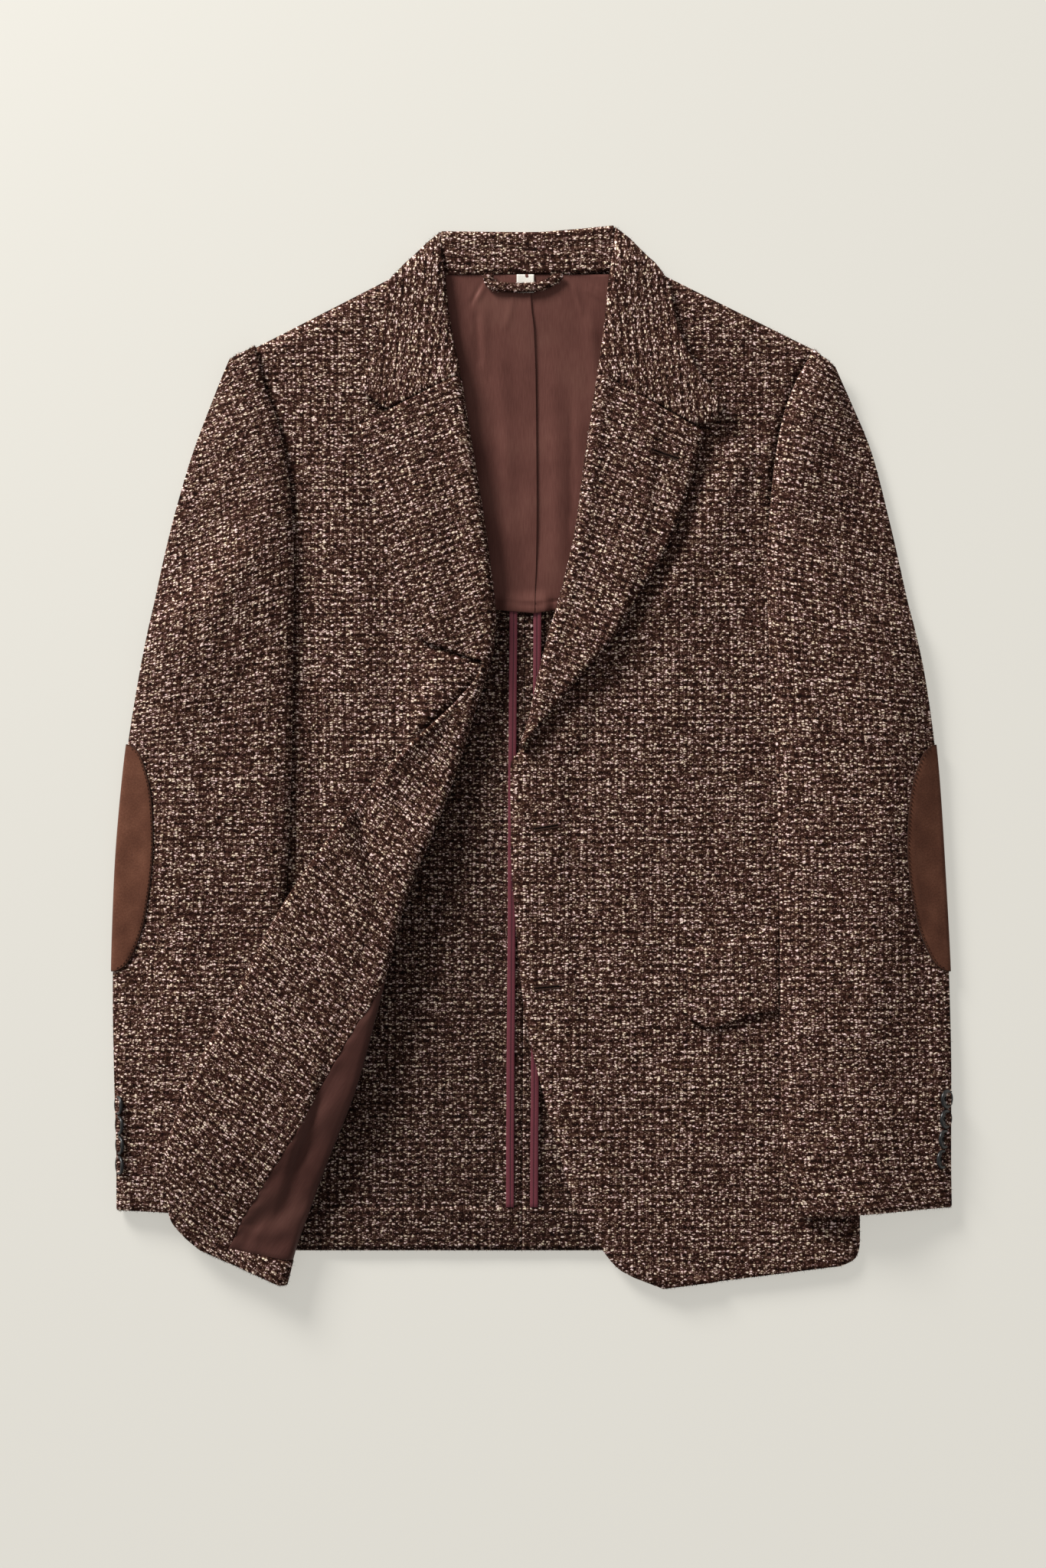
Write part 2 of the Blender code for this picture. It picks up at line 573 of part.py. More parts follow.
def turned_leg(hand, rows, stations, facing):
    """The turned part of a front, or of the facing on it, from the roll to the edge."""
    shares = leg_shares(hand, stations)
    radius = ROLL_FACING if facing else ROLL_FRONT
    start_x, start_y, edge_x, edge_y, partly, arc, ahead = turn(hand, rows, stations, radius, facing)
    lift, tuck = read(rows, stations, "lift", "tuck")
    length = np.hypot(edge_x - start_x, edge_y - start_y)
    inset = 0.0 if facing else 0.3
    columns = []
    for share in shares:
        reach = (length - inset) * share
        x = start_x + (edge_x - start_x) * reach / length
        y = start_y + (edge_y - start_y) * reach / length
        base = front_height(reach - 8.0, tuck) + FRONT_WALL / 2 + chest(x, y)
        if hand < 0:
            over_side = ease((x + 272.0) / 20.0)
            base = np.where(y < 60.0, np.maximum(base * over_side, sleeve_top(hand, x, y)), base)
        rest = base + LAID + FRONT_WALL / 2 + lift * share ** 2 + 1.2 * np.sin(np.pi * share) * ease(length / 60)
        high = ROLL_CENTRE + ROLL_FRONT
        height = rest + (high - rest) * (1.0 - ease(reach / SETTLE)) * (high > rest)
        if facing:
            height = height + NEST + 0.5 * np.clip(reach / 5.0, 0, 1)
        laid = np.stack([x, y, height], axis=-1)
        stub = arc[-1] + ahead * STUB * share[:, None]
        columns.append(np.where(partly[:, None], stub, laid))
    return arc, columns


LINING_TOP_STATION = 11.35
LINING_HEM_STATION = 15.35
RIGHT_TURNED = np.array([0, 1, 2, 3, 4, 4.6, 5, 5.5, 6, 6.5, 7, 8, 9, 9.6, 10, 10.33, 10.67, 11,
                         LINING_TOP_STATION, 12, 12.5, 13, 13.5, 14, 15, LINING_HEM_STATION, 16])
LEFT_TURNED = np.array([0, 1, 2, 3, 4, 5, 5.6, 6, 6.5, 7], float)
NECK_STATIONS = np.array([0, 0.12, 0.4, 1, 2, 3], float)
NECK_CURL = np.array([0.0, 0.5, 0.86, 1, 1, 1])


def leg_shares(hand, stations):
    """How far along the turned leg its columns stand. On the open right front the second of them follows
    the facing's inner edge."""
    even = np.array([0.08, 0.2, 0.4, 0.6, 0.8, 1.0])[:, None] + np.zeros(len(stations))
    if hand > 0:
        return even
    inner = np.maximum(facing_share(stations), 0.03)
    along = np.array([0.5, 1.0, 1.0, 1.0, 1.0, 1.0])[:, None] * inner
    rest = np.array([0.0, 0.0, 0.25, 0.5, 0.75, 1.0])[:, None] * (1.0 - inner)
    return even + (along + rest - even) * ease((stations - 10.0) / (LINING_TOP_STATION - 10.0))


def front(name, hand, finish):
    """A front with its lapel, from shoulder to hem, as one sheet."""
    neck = RIGHT_NECK if hand < 0 else LEFT_NECK
    body = RIGHT_FRONT if hand < 0 else LEFT_FRONT
    stations = RIGHT_TURNED if hand < 0 else LEFT_TURNED
    no_tuck = np.full(len(NECK_STATIONS), FACING_TUCK)
    top = lower_leg(*read(neck, NECK_STATIONS, "side_x", "side_y", "neck_x", "neck_y"), no_tuck, NECK_CURL, 0.0)
    side_x, side_y, roll_x, roll_y, tuck = read(body, stations, "side_x", "side_y", "roll_x", "roll_y", "tuck")
    middle = lower_leg(side_x, side_y, roll_x + hand * ROLL, roll_y, tuck, 1.0, 1.0)
    arc, leg = turned_leg(hand, body, stations, facing=False)
    middle = np.stack(middle + arc + leg, axis=1)
    blank = [top[-1]] * (len(arc) + len(leg))
    parts = [np.stack(top + blank, axis=1), middle]
    turned = [False] * len(NECK_STATIONS) + [True] * len(stations)
    if hand > 0:
        plain = np.arange(len(LEFT_EDGE["side_x"]), dtype=float)
        tucks = np.full(len(plain), FACING_TUCK)
        bottom = lower_leg(*read(LEFT_EDGE, plain, "side_x", "side_y", "edge_x", "edge_y"), tucks, 1.0, 1.0)
        parts.append(np.stack(bottom + [bottom[-1]] * (len(arc) + len(leg)), axis=1))
        turned += [False] * len(plain)
    grid = np.concatenate(parts)
    keep = np.ones((grid.shape[0] - 1, grid.shape[1] - 1), bool)
    both = np.array(turned[:-1]) & np.array(turned[1:])
    keep[:, len(top) - 1:] = both[:, None]
    return wall(name, grid, FRONT_WALL, finish, keep)


def tucked(hand, rows, stations, shares):
    """The part of a facing or lining hidden behind the front, next to the roll."""
    side_x, side_y, roll_x, roll_y, tuck = read(rows, stations, "side_x", "side_y", "roll_x", "roll_y", "tuck")
    start_x = roll_x + hand * ROLL
    length = np.hypot(side_x - start_x, side_y - roll_y)
    columns = []
    for share in shares:
        reach = tuck * share
        x = start_x + (side_x - start_x) * reach / length
        y = roll_y + (side_y - roll_y) * reach / length
        height = front_height(reach, tuck) + chest(x, y) - NEST - 0.25 * np.clip(reach / 10.0, 0, 1)
        columns.append(np.stack([x, y, height], axis=-1))
    return columns


def left_facing(name, finish):
    """The lapel's face, which turns in at the break and runs on behind the front edge."""
    arc, leg = turned_leg(1, LEFT_FRONT, LEFT_TURNED, facing=True)
    hidden = tucked(1, LEFT_FRONT, LEFT_TURNED, (1.0, 0.5, 0.0))
    upper = np.stack(hidden + arc + leg, axis=1)
    plain = np.arange(len(LEFT_EDGE["side_x"]), dtype=float)
    side_x, side_y, edge_x, edge_y = read(LEFT_EDGE, plain, "side_x", "side_y", "edge_x", "edge_y")
    length = np.hypot(side_x - edge_x, side_y - edge_y)
    strip = []
    for reach in (FACING_TUCK, FACING_TUCK / 2, 0.4):
        x = edge_x + (side_x - edge_x) * reach / length
        y = edge_y + (side_y - edge_y) * reach / length
        height = np.full_like(x, FRONT_OVER_FACING - NEST - 0.1)
        strip.append(np.stack([x, y, height], axis=-1))
    lower = np.stack(strip + [strip[-1]] * (len(arc) + len(leg)), axis=1)
    grid = np.concatenate([upper, lower])
    keep = np.ones((grid.shape[0] - 1, grid.shape[1] - 1), bool)
    keep[len(LEFT_TURNED) - 1:, len(hidden) - 1:] = False
    return wall(name, grid, FACING_WALL, finish, keep)


def facing_share(stations):
    """Where the right facing's inner edge lies, as a share of the way from the roll to the front edge."""
    roll_x, roll_y, edge_x = read(RIGHT_FRONT, stations, "roll_x", "roll_y", "edge_x")
    inner = by_height(FACING_INNER, roll_y)
    return np.clip((roll_x - ROLL - inner) / (roll_x - ROLL - edge_x), 0.0, 1.0)


def right_facing(name, finish):
    """The lapel's face and, below the break, the facing of the opened front."""
    arc, leg = turned_leg(-1, RIGHT_FRONT, RIGHT_TURNED, facing=True)
    hidden = tucked(-1, RIGHT_FRONT, RIGHT_TURNED, (1.0, 0.5, 0.0))
    grid = np.stack(hidden + arc + leg, axis=1)
    keep = np.ones((grid.shape[0] - 1, grid.shape[1] - 1), bool)
    keep[RIGHT_TURNED[:-1] >= LINING_TOP_STATION, : len(hidden) + len(arc) + 1] = False
    return wall(name, grid, FACING_WALL, finish, keep)


def beside_facing(name, stations, thickness, finish):
    """The lining or hem of the opened front, from beside the facing, over the fold and behind it."""
    arc, leg = turned_leg(-1, RIGHT_FRONT, stations, facing=True)
    span = np.linalg.norm(leg[1] - leg[0], axis=1, keepdims=True)
    edge = leg[1] + (leg[0] - leg[1]) * np.minimum(1.0 / span, 0.6)
    hidden = tucked(-1, RIGHT_FRONT, stations, (1.0, 0.5, 0.0))
    grid = np.stack(hidden + arc + [leg[0], edge], axis=1)
    return wall(name, grid, thickness, finish)


# ---------------------------------------------------------------- back, lining, neck


def neck_rise(x, y):
    """The back panel and its lining lie over the collar's fall near the neck."""
    return NECK_RISE * ease((y - 336.0) / 14.0) * (1.0 - ease((np.abs(x) - 74.0) / 9.0))


def back_half(name, hand, finish):
    """Half the back, with its seam allowance pressed open and its hem turned up."""
    centre_y, side_y = BACK_ROWS["centre_y"], BACK_ROWS["side_y"]
    side_x = by_height(inset_side(hand, FRONT_WALL + 5.4), side_y)
    seam_x = by_height(CENTRE_SEAM, centre_y)
    far = side_x - hand * seam_x
    out = [np.full_like(far, step) for step in (GAP / 2, SEAM_ALLOWANCE, SEAM_ALLOWANCE + 0.3, 70.0)]
    out += [NECK_HALF_WIDTH - hand * seam_x, (NECK_HALF_WIDTH + far) / 2, far]
    reach = np.stack(out, axis=1)
    x = seam_x[:, None] + hand * reach
    fall = np.clip((reach - 85.0) / (far[:, None] - 85.0), 0.0, 1.0)
    y = centre_y[:, None] + (side_y - centre_y)[:, None] * fall
    bottom = neck_rise(x, y)
    allowance = (reach <= SEAM_ALLOWANCE) & (centre_y[:, None] < 116.0)
    hem = centre_y[:, None] <= HEM_TURN_Y
    thickness = np.where(hem, HEM_TOP, np.where(allowance, ALLOWANCE_TOP, BACK_WALL))
    return slab(name, x, y, bottom, thickness, finish)


def seam_binding(name, hand, finish):
    """The tape that binds one edge of the centre seam, from under the lining down to the hem."""
    y = np.array([113.0, -110.0, HEM_TURN_Y + 0.8])
    seam = by_height(CENTRE_SEAM, y)
    edge = SEAM_ALLOWANCE - 0.1
    steps = np.array([edge - BINDING_WIDTH, edge - BINDING_WIDTH + 0.8, edge - 0.8, edge])
    x = seam[:, None] + hand * steps
    heights = np.broadcast_to(np.array([0.5, 1.0, 1.0, 0.5]), x.shape)
    return slab(name, x, np.broadcast_to(y[:, None], x.shape), ALLOWANCE_TOP + GAP, heights, finish)


def lining_floor(x, y):
    """The underside of the upper back lining."""
    from_seam = np.abs(x - by_height(CENTRE_SEAM, y))
    over_binding = ease((128.0 - y) / 14.0) * (1.0 - ease((from_seam - 14.0) / 8.0))
    return BACK_WALL + GAP + neck_rise(x, y) + 2.7 * over_binding


def back_lining(name, hand, finish):
    outer_x = BACK_LINING["right_x" if hand < 0 else "left_x"]
    outer_y = BACK_LINING["right_y" if hand < 0 else "left_y"]
    seam_x, seam_y = BACK_LINING["seam_x"], BACK_LINING["seam_y"]
    shares = np.array([0.0, 0.2, 0.4, 0.7, 1.0])
    x = seam_x[:, None] + hand * GAP / 2 + (outer_x - seam_x - hand * GAP / 2)[:, None] * shares
    y = seam_y[:, None] + (outer_y - seam_y)[:, None] * shares
    return slab(name, x, y, lining_floor(x, y), LINING_WALL, finish)


def collar_stand(name, finish):
    """The band inside the back neck, between the neck seam and the stand seam."""
    x = NECK_BAND["x"][:, None] + np.zeros((1, 3))
    seam, stand = NECK_BAND["seam_y"][:, None], NECK_BAND["stand_y"][:, None]
    y = seam + GAP + (stand - seam - 2 * GAP) * np.array([0.0, 0.5, 1.0])
    return slab(name, x, y, 5.6, BACK_WALL, finish)


def collar_back(name, finish):
    """The collar at the back neck: from the stand seam over the fold, and its fall underneath."""
    top, low = 6.8, COLLAR_BACK_WALL / 2
    radius = (top - low) / 2
    x, stand, fold = NECK_BAND["x"], NECK_BAND["stand_y"], NECK_BAND["fold_y"]
    centre_y = fold - COLLAR_BACK_WALL / 2 - radius
    columns = [(x, stand, top), (x, (stand + centre_y) / 2, top)]
    for degrees in (0, 40, 75, 105, 140, 180):
        angle = math.radians(degrees)
        columns.append((x, centre_y + radius * math.sin(angle), low + radius + radius * math.cos(angle)))
    for share in (0.5, 1.0):
        columns.append((x, centre_y + (FALL_Y - centre_y) * share, low))
    grid = np.stack([np.stack(np.broadcast_arrays(*column), axis=-1) for column in columns], axis=1)
    return wall(name, grid, COLLAR_BACK_WALL, finish)


def collar_leaf(name, hand, finish):
    """One side of the collar, lying over the shoulder and front down to the notch."""
    rows = RIGHT_COLLAR if hand < 0 else LEFT_COLLAR
    dip = RIGHT_COLLAR_DIP if hand < 0 else LEFT_COLLAR_DIP
    stations = np.array([0, 0.5, 1, 1.5, 2, 3, 4, 5, 6], float)
    roll_x, roll_y, edge_x, edge_y, base, edge_z = read(
        rows, stations, "roll_x", "roll_y", "edge_x", "edge_y", "base", "edge_z")
    width = np.hypot(edge_x - roll_x, edge_y - roll_y)
    fit = np.clip(width / 26.0, 0.5, 1.0)
    half = COLLAR_WALL / 2
    widest, top = 3.4, 7.4 - half
    columns = []
    for degrees in (-90, -45, 0, 35, 62, 90):
        angle = math.radians(degrees)
        bend = 4.0 if degrees < 0 else 7.0
        reach = half + bend * fit * (1.0 - math.cos(angle))
        rise = (widest - half) if degrees < 0 else (top - widest)
        columns.append((reach, base + widest + rise * math.sin(angle)))
    start = half + 7.0 * fit
    for share in (0.3, 0.57, 0.75, 0.9, 1.0):
        reach = start + (width - start - 0.2) * share
        high = base + top
        shape = np.where(edge_z < 9.0, quarter(1.0 - share), 1.0 - ease(share))
        columns.append((reach, edge_z + (high - edge_z) * shape))
    last = stations == stations[-1]
    grid = []
    for reach, height in columns:
        share = reach / width
        drop = np.where(last, np.interp(share, dip["share"], dip["dip"]), 0.0)
        half_drop = np.where(stations == 5, 0.25 * np.interp(share, dip["share"], dip["dip"]), 0.0)
        x = roll_x + (edge_x - roll_x) * share
        y = roll_y + (edge_y - roll_y) * share - drop - half_drop
        grid.append(np.stack([x, y, height], axis=-1))
    return wall(name, np.stack(grid, axis=1), COLLAR_WALL, finish)


def hanger_loop(name, finish):
    """The folded strip of cloth sewn into the neck seam to hang the coat by."""
    path = np.stack([HANGER_PATH["x"], HANGER_PATH["y"]], axis=1)
    ahead = np.gradient(path, axis=0)
    ahead /= np.linalg.norm(ahead, axis=1, keepdims=True)
    aside = np.stack([-ahead[:, 1], ahead[:, 0]], axis=1)
    height = 6.2 + GAP + LABEL_WALL + GAP + LOOP_WALL / 2
    grid = []
    for share, drop in ((-1.0, -0.3), (0.0, 0.5), (1.0, -0.3)):
        spot = path + aside * share * HANGER_WIDTH / 2
        grid.append(np.column_stack([spot, np.full(len(path), height + drop + 0.3)]))
    grid = np.stack(grid, axis=1)
    grid[..., 1] = np.minimum(grid[..., 1], 365.3)
    return wall(name, grid, LOOP_WALL, finish)


def size_label(name, finish):
    low_x, high_x, low_y, high_y = LABEL_BOX
    x, y = np.meshgrid([low_x, high_x], [low_y, high_y])
    return slab(name, x, y, lining_floor(x, y).max() + LINING_WALL + GAP, LABEL_WALL, finish)


# ---------------------------------------------------------------- what lies on the panels


def pocket_flap(name, finish):
    """The flap of the left hip pocket, up to where the sleeve covers it."""
    x = POCKET_FLAP["x"][:, None] + np.zeros((1, 4))
    top, bottom = POCKET_FLAP["top_y"][:, None], POCKET_FLAP["bottom_y"][:, None]
    y = top + (bottom - top) * np.array([0.0, 0.33, 0.67, 1.0])
    level = FRONT_LEVEL + FRONT_WALL / 2 + GAP + chest(x, y)
    thickness = np.broadcast_to(np.array([0.8, FLAP_WALL, FLAP_WALL, FLAP_WALL * 0.8]), x.shape)
    return slab(name, x, y, level, thickness, finish)


def elbow_patch(name, hand, finish):
    """The suede patch sewn over the elbow: the sleeve's own points, moved out."""
    stations = sleeve_station(hand, PATCH["y"])
    rows = sleeve_table(hand)
    across = [smooth(rows["outer_" + axis] - rows["inner_" + axis], stations) for axis in "xy"]
    flat = np.hypot(*across) - SLEEVE_WALL - CURL_IN - CURL_OUT
    reach = PATCH["reach"] - SLEEVE_WALL / 2
    on_fold = 4.0 - np.arccos(np.clip(1.0 - reach / CURL_OUT, 0, 1)) / (math.pi / 2)
    edge = np.where(reach < CURL_OUT, on_fold, 3.0 - (reach - CURL_OUT) / flat)
    low = 4.1 + 0.25 * ease(PATCH["reach"] / 16.0)
    out = SLEEVE_WALL / 2 + GAP + 0.4 + PATCH_WALL / 2
    step = 0.02
    columns = []
    for share in np.linspace(0.0, 1.0, 9):
        place = edge + (low - edge) * share
        along = sleeve_point(hand, stations + step, place) - sleeve_point(hand, stations - step, place)
        around = sleeve_point(hand, stations, place + step) - sleeve_point(hand, stations, place - step)
        facing_out = np.cross(along, around) * hand
        facing_out /= np.linalg.norm(facing_out, axis=1, keepdims=True)
        columns.append(sleeve_point(hand, stations, place) + facing_out * out)
    return wall(name, np.stack(columns, axis=1), PATCH_WALL, finish)


def button_profile():
    """Half section of a cuff button, as distance from its axis and height over its back."""
    return [(0.0, 1.5), (4.6, 1.5), (5.4, 2.4), (6.5, BUTTON_THICKNESS), (BUTTON_RADIUS, 1.9), (6.7, 0.5), (5.6, 0.0),
            (0.0, 0.0)]


def cuff_button(name, hand, y, tilt, finish):
    """A sew-through button on the rounded outer fold of the cuff."""
    surface = sleeve_point(hand, np.array([sleeve_station(hand, y)]), 4.0 - (90.0 - tilt) / 90.0)[0]
    lean = math.radians(tilt)
    out = np.array([hand * math.sin(lean), 0.0, math.cos(lean)])
    centre = surface + out * (SLEEVE_WALL / 2 + GAP + 0.3)
    centre[1] = y
    along = np.array([0.0, 1.0, 0.0])
    aside = np.cross(out, along)
    sides = 20
    points, faces = [], []
    profile = button_profile()
    for radius, height in profile[1:-1]:
        for k in range(sides):
            angle = 2 * math.pi * k / sides
            points.append(centre + out * height + (along * math.cos(angle) + aside * math.sin(angle)) * radius)
    rings = len(profile) - 2
    for ring in range(rings - 1):
        for k in range(sides):
            after = (k + 1) % sides
            faces.append((ring * sides + k, ring * sides + after, (ring + 1) * sides + after, (ring + 1) * sides + k))
    faces.append(tuple(range(sides)))
    faces.append(tuple((rings - 1) * sides + k for k in reversed(range(sides))))
    return add_object(name, points, faces, finish, math.radians(35))


# ---------------------------------------------------------------- the coat


def clear_scene():
    for old in list(bpy.data.objects):
        bpy.data.objects.remove(old, do_unlink=True)


def build():
    clear_scene()
    tweed = material("tweed", TWEED, 0.9)
    lit_tweed = material("tweed_facing", TWEED_LIT, 0.9)
    satin = material("satin", SATIN, 0.45)
    tape = material("binding", BINDING, 0.55)
    suede = material("suede", SUEDE, 0.95)
    horn = material("button", HORN, 0.35)
    label = material("label", LABEL, 0.7)
    for side, hand in (("right", -1), ("left", 1)):
        back_half(f"back_{side}", hand, tweed)
        seam_binding(f"seam_binding_{side}", hand, tape)
        back_lining(f"back_lining_{side}", hand, satin)
        front(f"front_{side}", hand, tweed)
        collar_leaf(f"collar_leaf_{side}", hand, tweed)
        top_sleeve(f"top_sleeve_{side}", hand, tweed)
        under_sleeve(f"under_sleeve_{side}", hand, tweed)
        elbow_patch(f"elbow_patch_{side}", hand, suede)
        first_y = RIGHT_BUTTON_Y if hand < 0 else LEFT_BUTTON_Y
        tilt = RIGHT_BUTTON_TILT if hand < 0 else LEFT_BUTTON_TILT
        for count in range(BUTTONS):
            cuff_button(f"cuff_button_{side}_{count + 1}", hand, first_y - count * BUTTON_PITCH, tilt, horn)
    left_facing("facing_left", lit_tweed)
    right_facing("facing_right", lit_tweed)
    lining_rows = RIGHT_TURNED[(RIGHT_TURNED > LINING_TOP_STATION) & (RIGHT_TURNED < LINING_HEM_STATION)]
    lining_rows = np.concatenate([[LINING_TOP_STATION + 0.05], lining_rows, [LINING_HEM_STATION]])
    beside_facing("front_lining_right", lining_rows, LINING_WALL, satin)
    beside_facing("front_hem_right", np.array([LINING_HEM_STATION + 0.07, 16.0]), FACING_WALL, tweed)
    collar_stand("collar_stand", tweed)
    collar_back("collar_back", tweed)
    hanger_loop("hanger_loop", tweed)
    size_label("size_label", label)
    pocket_flap("pocket_flap_left", tweed)


build()
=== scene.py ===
"""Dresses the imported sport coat: finer sheets with soft folds, tweed, satin, suede, stitching and buttons.

Sizes and tables are in millimetres in the coat's own frame: X across with the wearer's right at -X, Y up
to the collar, Z off the surface it lies on. "Right" and "left" are the wearer's, and a hand is -1 for the
right and 1 for the left. A station is a place along a table, counted in rows. A sheet is made about a grid
of points in the middle of its wall.
"""

import math

import bpy
import numpy as np
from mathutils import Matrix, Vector
from mathutils.bvhtree import BVHTree
from mathutils.kdtree import KDTree


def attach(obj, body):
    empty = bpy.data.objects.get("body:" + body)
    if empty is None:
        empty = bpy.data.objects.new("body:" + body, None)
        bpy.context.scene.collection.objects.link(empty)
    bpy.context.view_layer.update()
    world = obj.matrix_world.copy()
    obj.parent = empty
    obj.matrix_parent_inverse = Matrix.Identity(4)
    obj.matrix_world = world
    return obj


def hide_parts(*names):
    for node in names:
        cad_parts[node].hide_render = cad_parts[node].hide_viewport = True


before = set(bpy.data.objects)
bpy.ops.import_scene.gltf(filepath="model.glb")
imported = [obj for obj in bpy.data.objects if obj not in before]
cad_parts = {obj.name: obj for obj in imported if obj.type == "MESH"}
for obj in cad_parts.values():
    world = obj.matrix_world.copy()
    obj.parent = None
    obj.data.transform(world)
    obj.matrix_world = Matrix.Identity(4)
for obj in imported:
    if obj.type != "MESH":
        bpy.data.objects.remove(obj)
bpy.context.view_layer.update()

MM = 0.001
MIDDLE = (0.6, 0.9)  # middle of the outline, which is the frame's origin
GRID = 3.2  # spacing of a sheet's points

# Thickness of each kind of piece.
FRONT_WALL, FACING_WALL, LINING_WALL = 2.6, 2.0, 1.2
BACK_WALL, COLLAR_WALL, COLLAR_BACK_WALL = 2.4, 3.2, 2.0
SLEEVE_WALL, UNDER_SLEEVE_WALL, PATCH_WALL = 3.2, 3.0, 1.2
FLAP_WALL, LOOP_WALL, LABEL_WALL = 2.2, 2.6, 0.6
GAP, LAID = 0.3, 0.5  # between neighbours, and under a front's turned part

# Height of the middle of a front's wall, away from its facing and over it, and of the body under a sleeve.
FRONT_LEVEL, FRONT_OVER_FACING, BODY_TOP = 6.5, 9.1, 8.1
SIDE_CURL, EDGE_FOOT = 8.0, 0.9  # a front's side bends down within this width, to this height

# The roll, where a front turns over with its facing round it: how far apart their middles are, the radius of
# each and of the outside, and the height of its centre.
NEST = FRONT_WALL / 2 + 1.5 * GAP + FACING_WALL / 2
ROLL_FRONT = 2.8
ROLL_FACING = ROLL_FRONT + NEST
ROLL = ROLL_FACING + FACING_WALL / 2
ROLL_CENTRE = FRONT_OVER_FACING + ROLL_FRONT
SETTLE = {-1: 25.0, 1: 10.0}  # past the roll, the turned part comes down within this length
FLAP_SLACK = 30.0  # longer by this much in the middle of the right front's flap
LIFT = {-1: 1.0, 1: 0.5}  # share of the tables' lift that a turned part's edge has
STUB = 1.0  # length past the arc in the rows that turn over only partly
TIP_WIDTH, TIP_DROP = 3.2, 1.9  # a facing rounds off at its edge

# The back: its hem and the turned-up top of that, its seam allowance, and how high each stands.
HEM_Y, HEM_TURN_Y = -372.6, -340.8
SEAM_ALLOWANCE, BINDING_WIDTH = 12.0, 5.5
ALLOWANCE_Y = 116.0  # the allowance stands out below this
ALLOWANCE_TOP, HEM_TOP, NECK_RISE = 3.6, 4.8, 2.3

# Widths of a sleeve's curl at its inner and outer fold and of what is tucked under it, and of the slope from
# the body's side down to the surface.
CURL_IN, CURL_OUT, SLEEVE_TUCK, SLEEVE_SLOPE = 20.0, 7.5, 5.0, 50.0
SLEEVE_CROWN = 3.0  # swelling of a sleeve's top in its middle
FACING_TUCK = 30.0  # width of the facing behind the left front's edge
CREASE_SCALE = 1.5  # of the creases of fronts and sleeves


def table(columns, rows):
    """A short table of sizes: one array for each named column."""
    return dict(zip(columns.split(), np.array(rows, float).T))


FRONT_COLUMNS = "side_x side_y roll_x roll_y edge_x edge_y lift tuck"
# The neck rows have no turned part, so their roll is the neck edge.
RIGHT_NECK = table("side_x side_y neck_x neck_y", [
    (-222.4, 302.5, -90.2, 370.3),
    (-209.7, 288.5, -78.6, 348.9),
    (-201, 267.7, -73.9, 324.5),
    (-194.6, 247.9, -68.7, 301.3),
])
RIGHT_FRONT = table(FRONT_COLUMNS, [
    (-191.1, 235.2, -53.6, 286.2, -131.9, 249.1, 0, 30),
    (-186.5, 196.9, -47.3, 246.2, -121.5, 210.2, 1, 30),
    (-193.4, 160.9, -39.1, 196.9, -111.1, 173.7, 1.5, 30),
    (-229.4, 114.5, -31.6, 144.7, -98.3, 126.1, 1, 30),
    (-261.3, 91.3, -27.5, 104.1, -85.5, 91.3, 0, 30),
    (-265.9, 73.9, -29.3, 82.1, -57.7, 79.8, 0, 30),
    (-265.9, 62.3, -32.2, 70.5, -36.2, 69.3, 0, 30),
    (-264.2, 37.4, -41.5, 40.3, -57.7, 41.5, 3, 30),
    (-261.9, 5.5, -51.9, 5.5, -94.8, 6.7, 6, 30),
    (-257.2, -40.9, -68.1, -40.9, -137.8, -42, 5, 30),
    (-253.2, -110.5, -96, -110.5, -187, -110.5, 0, 26),
    (-250.8, -180.1, -113.4, -180.1, -224.7, -181.8, 0, 20),
    (-249.7, -249.7, -132.5, -249.7, -260.1, -250.8, 0, 14),
    (-249.1, -304.8, -154, -304.8, -276.4, -304.8, 0, 12),
    (-247.9, -342.5, -168.5, -344.2, -273.5, -344.8, 0, 12),
    (-246.8, -354.1, -177.2, -368.6, -263, -360.5, 0, 12),
    (-245.6, -361, -184.7, -397, -251.4, -370.3, 0, 12),
])
LEFT_NECK = table("side_x side_y neck_x neck_y", [
    (214.9, 306.5, 85, 370.9),
    (203.3, 289.7, 72.2, 348.9),
    (194, 267.7, 67.6, 324.5),
    (187.6, 247.9, 63.5, 303.6),
])
LEFT_FRONT = table(FRONT_COLUMNS, [
    (185.3, 235.2, 48.4, 287.4, 128.5, 245, 2, 30),
    (181.8, 199.8, 39.1, 225.9, 119.8, 213.1, 3, 30),
    (189.4, 159.2, 32.2, 173.7, 104.7, 167.9, 5, 30),
    (220.1, 118.6, 22.3, 130.2, 82.6, 128.5, 8, 30),
    (259, 91.3, 11.3, 91.3, 59.4, 89.6, 8, 30),
    (263.6, 69.3, 3.8, 62.3, 33.3, 58.9, 5, 30),
    (262.4, 40.3, -4.3, 25.8, 3.8, 24.1, 0, 30),
    (260.7, 14.2, -10.1, 10.1, -7.8, 8.4, 0, 30),
])
LEFT_EDGE = table("side_x side_y edge_x edge_y", [
    (259.5, -6.1, -15.9, -7.2),
    (252, -69.9, -15.4, -69.9),
    (247.9, -139.5, -10.7, -139.5),
    (246.8, -197.5, -4.4, -197.5),
    (247.4, -249.7, 7.8, -249.7),
    (247.9, -301.9, 21.8, -301.9),
    (247.9, -342.5, 34.5, -342.5),
    (247.9, -365.7, 50.8, -368),
    (245, -377.9, 67.6, -387.2),
    (235.8, -383.1, 98.9, -400.5),
])
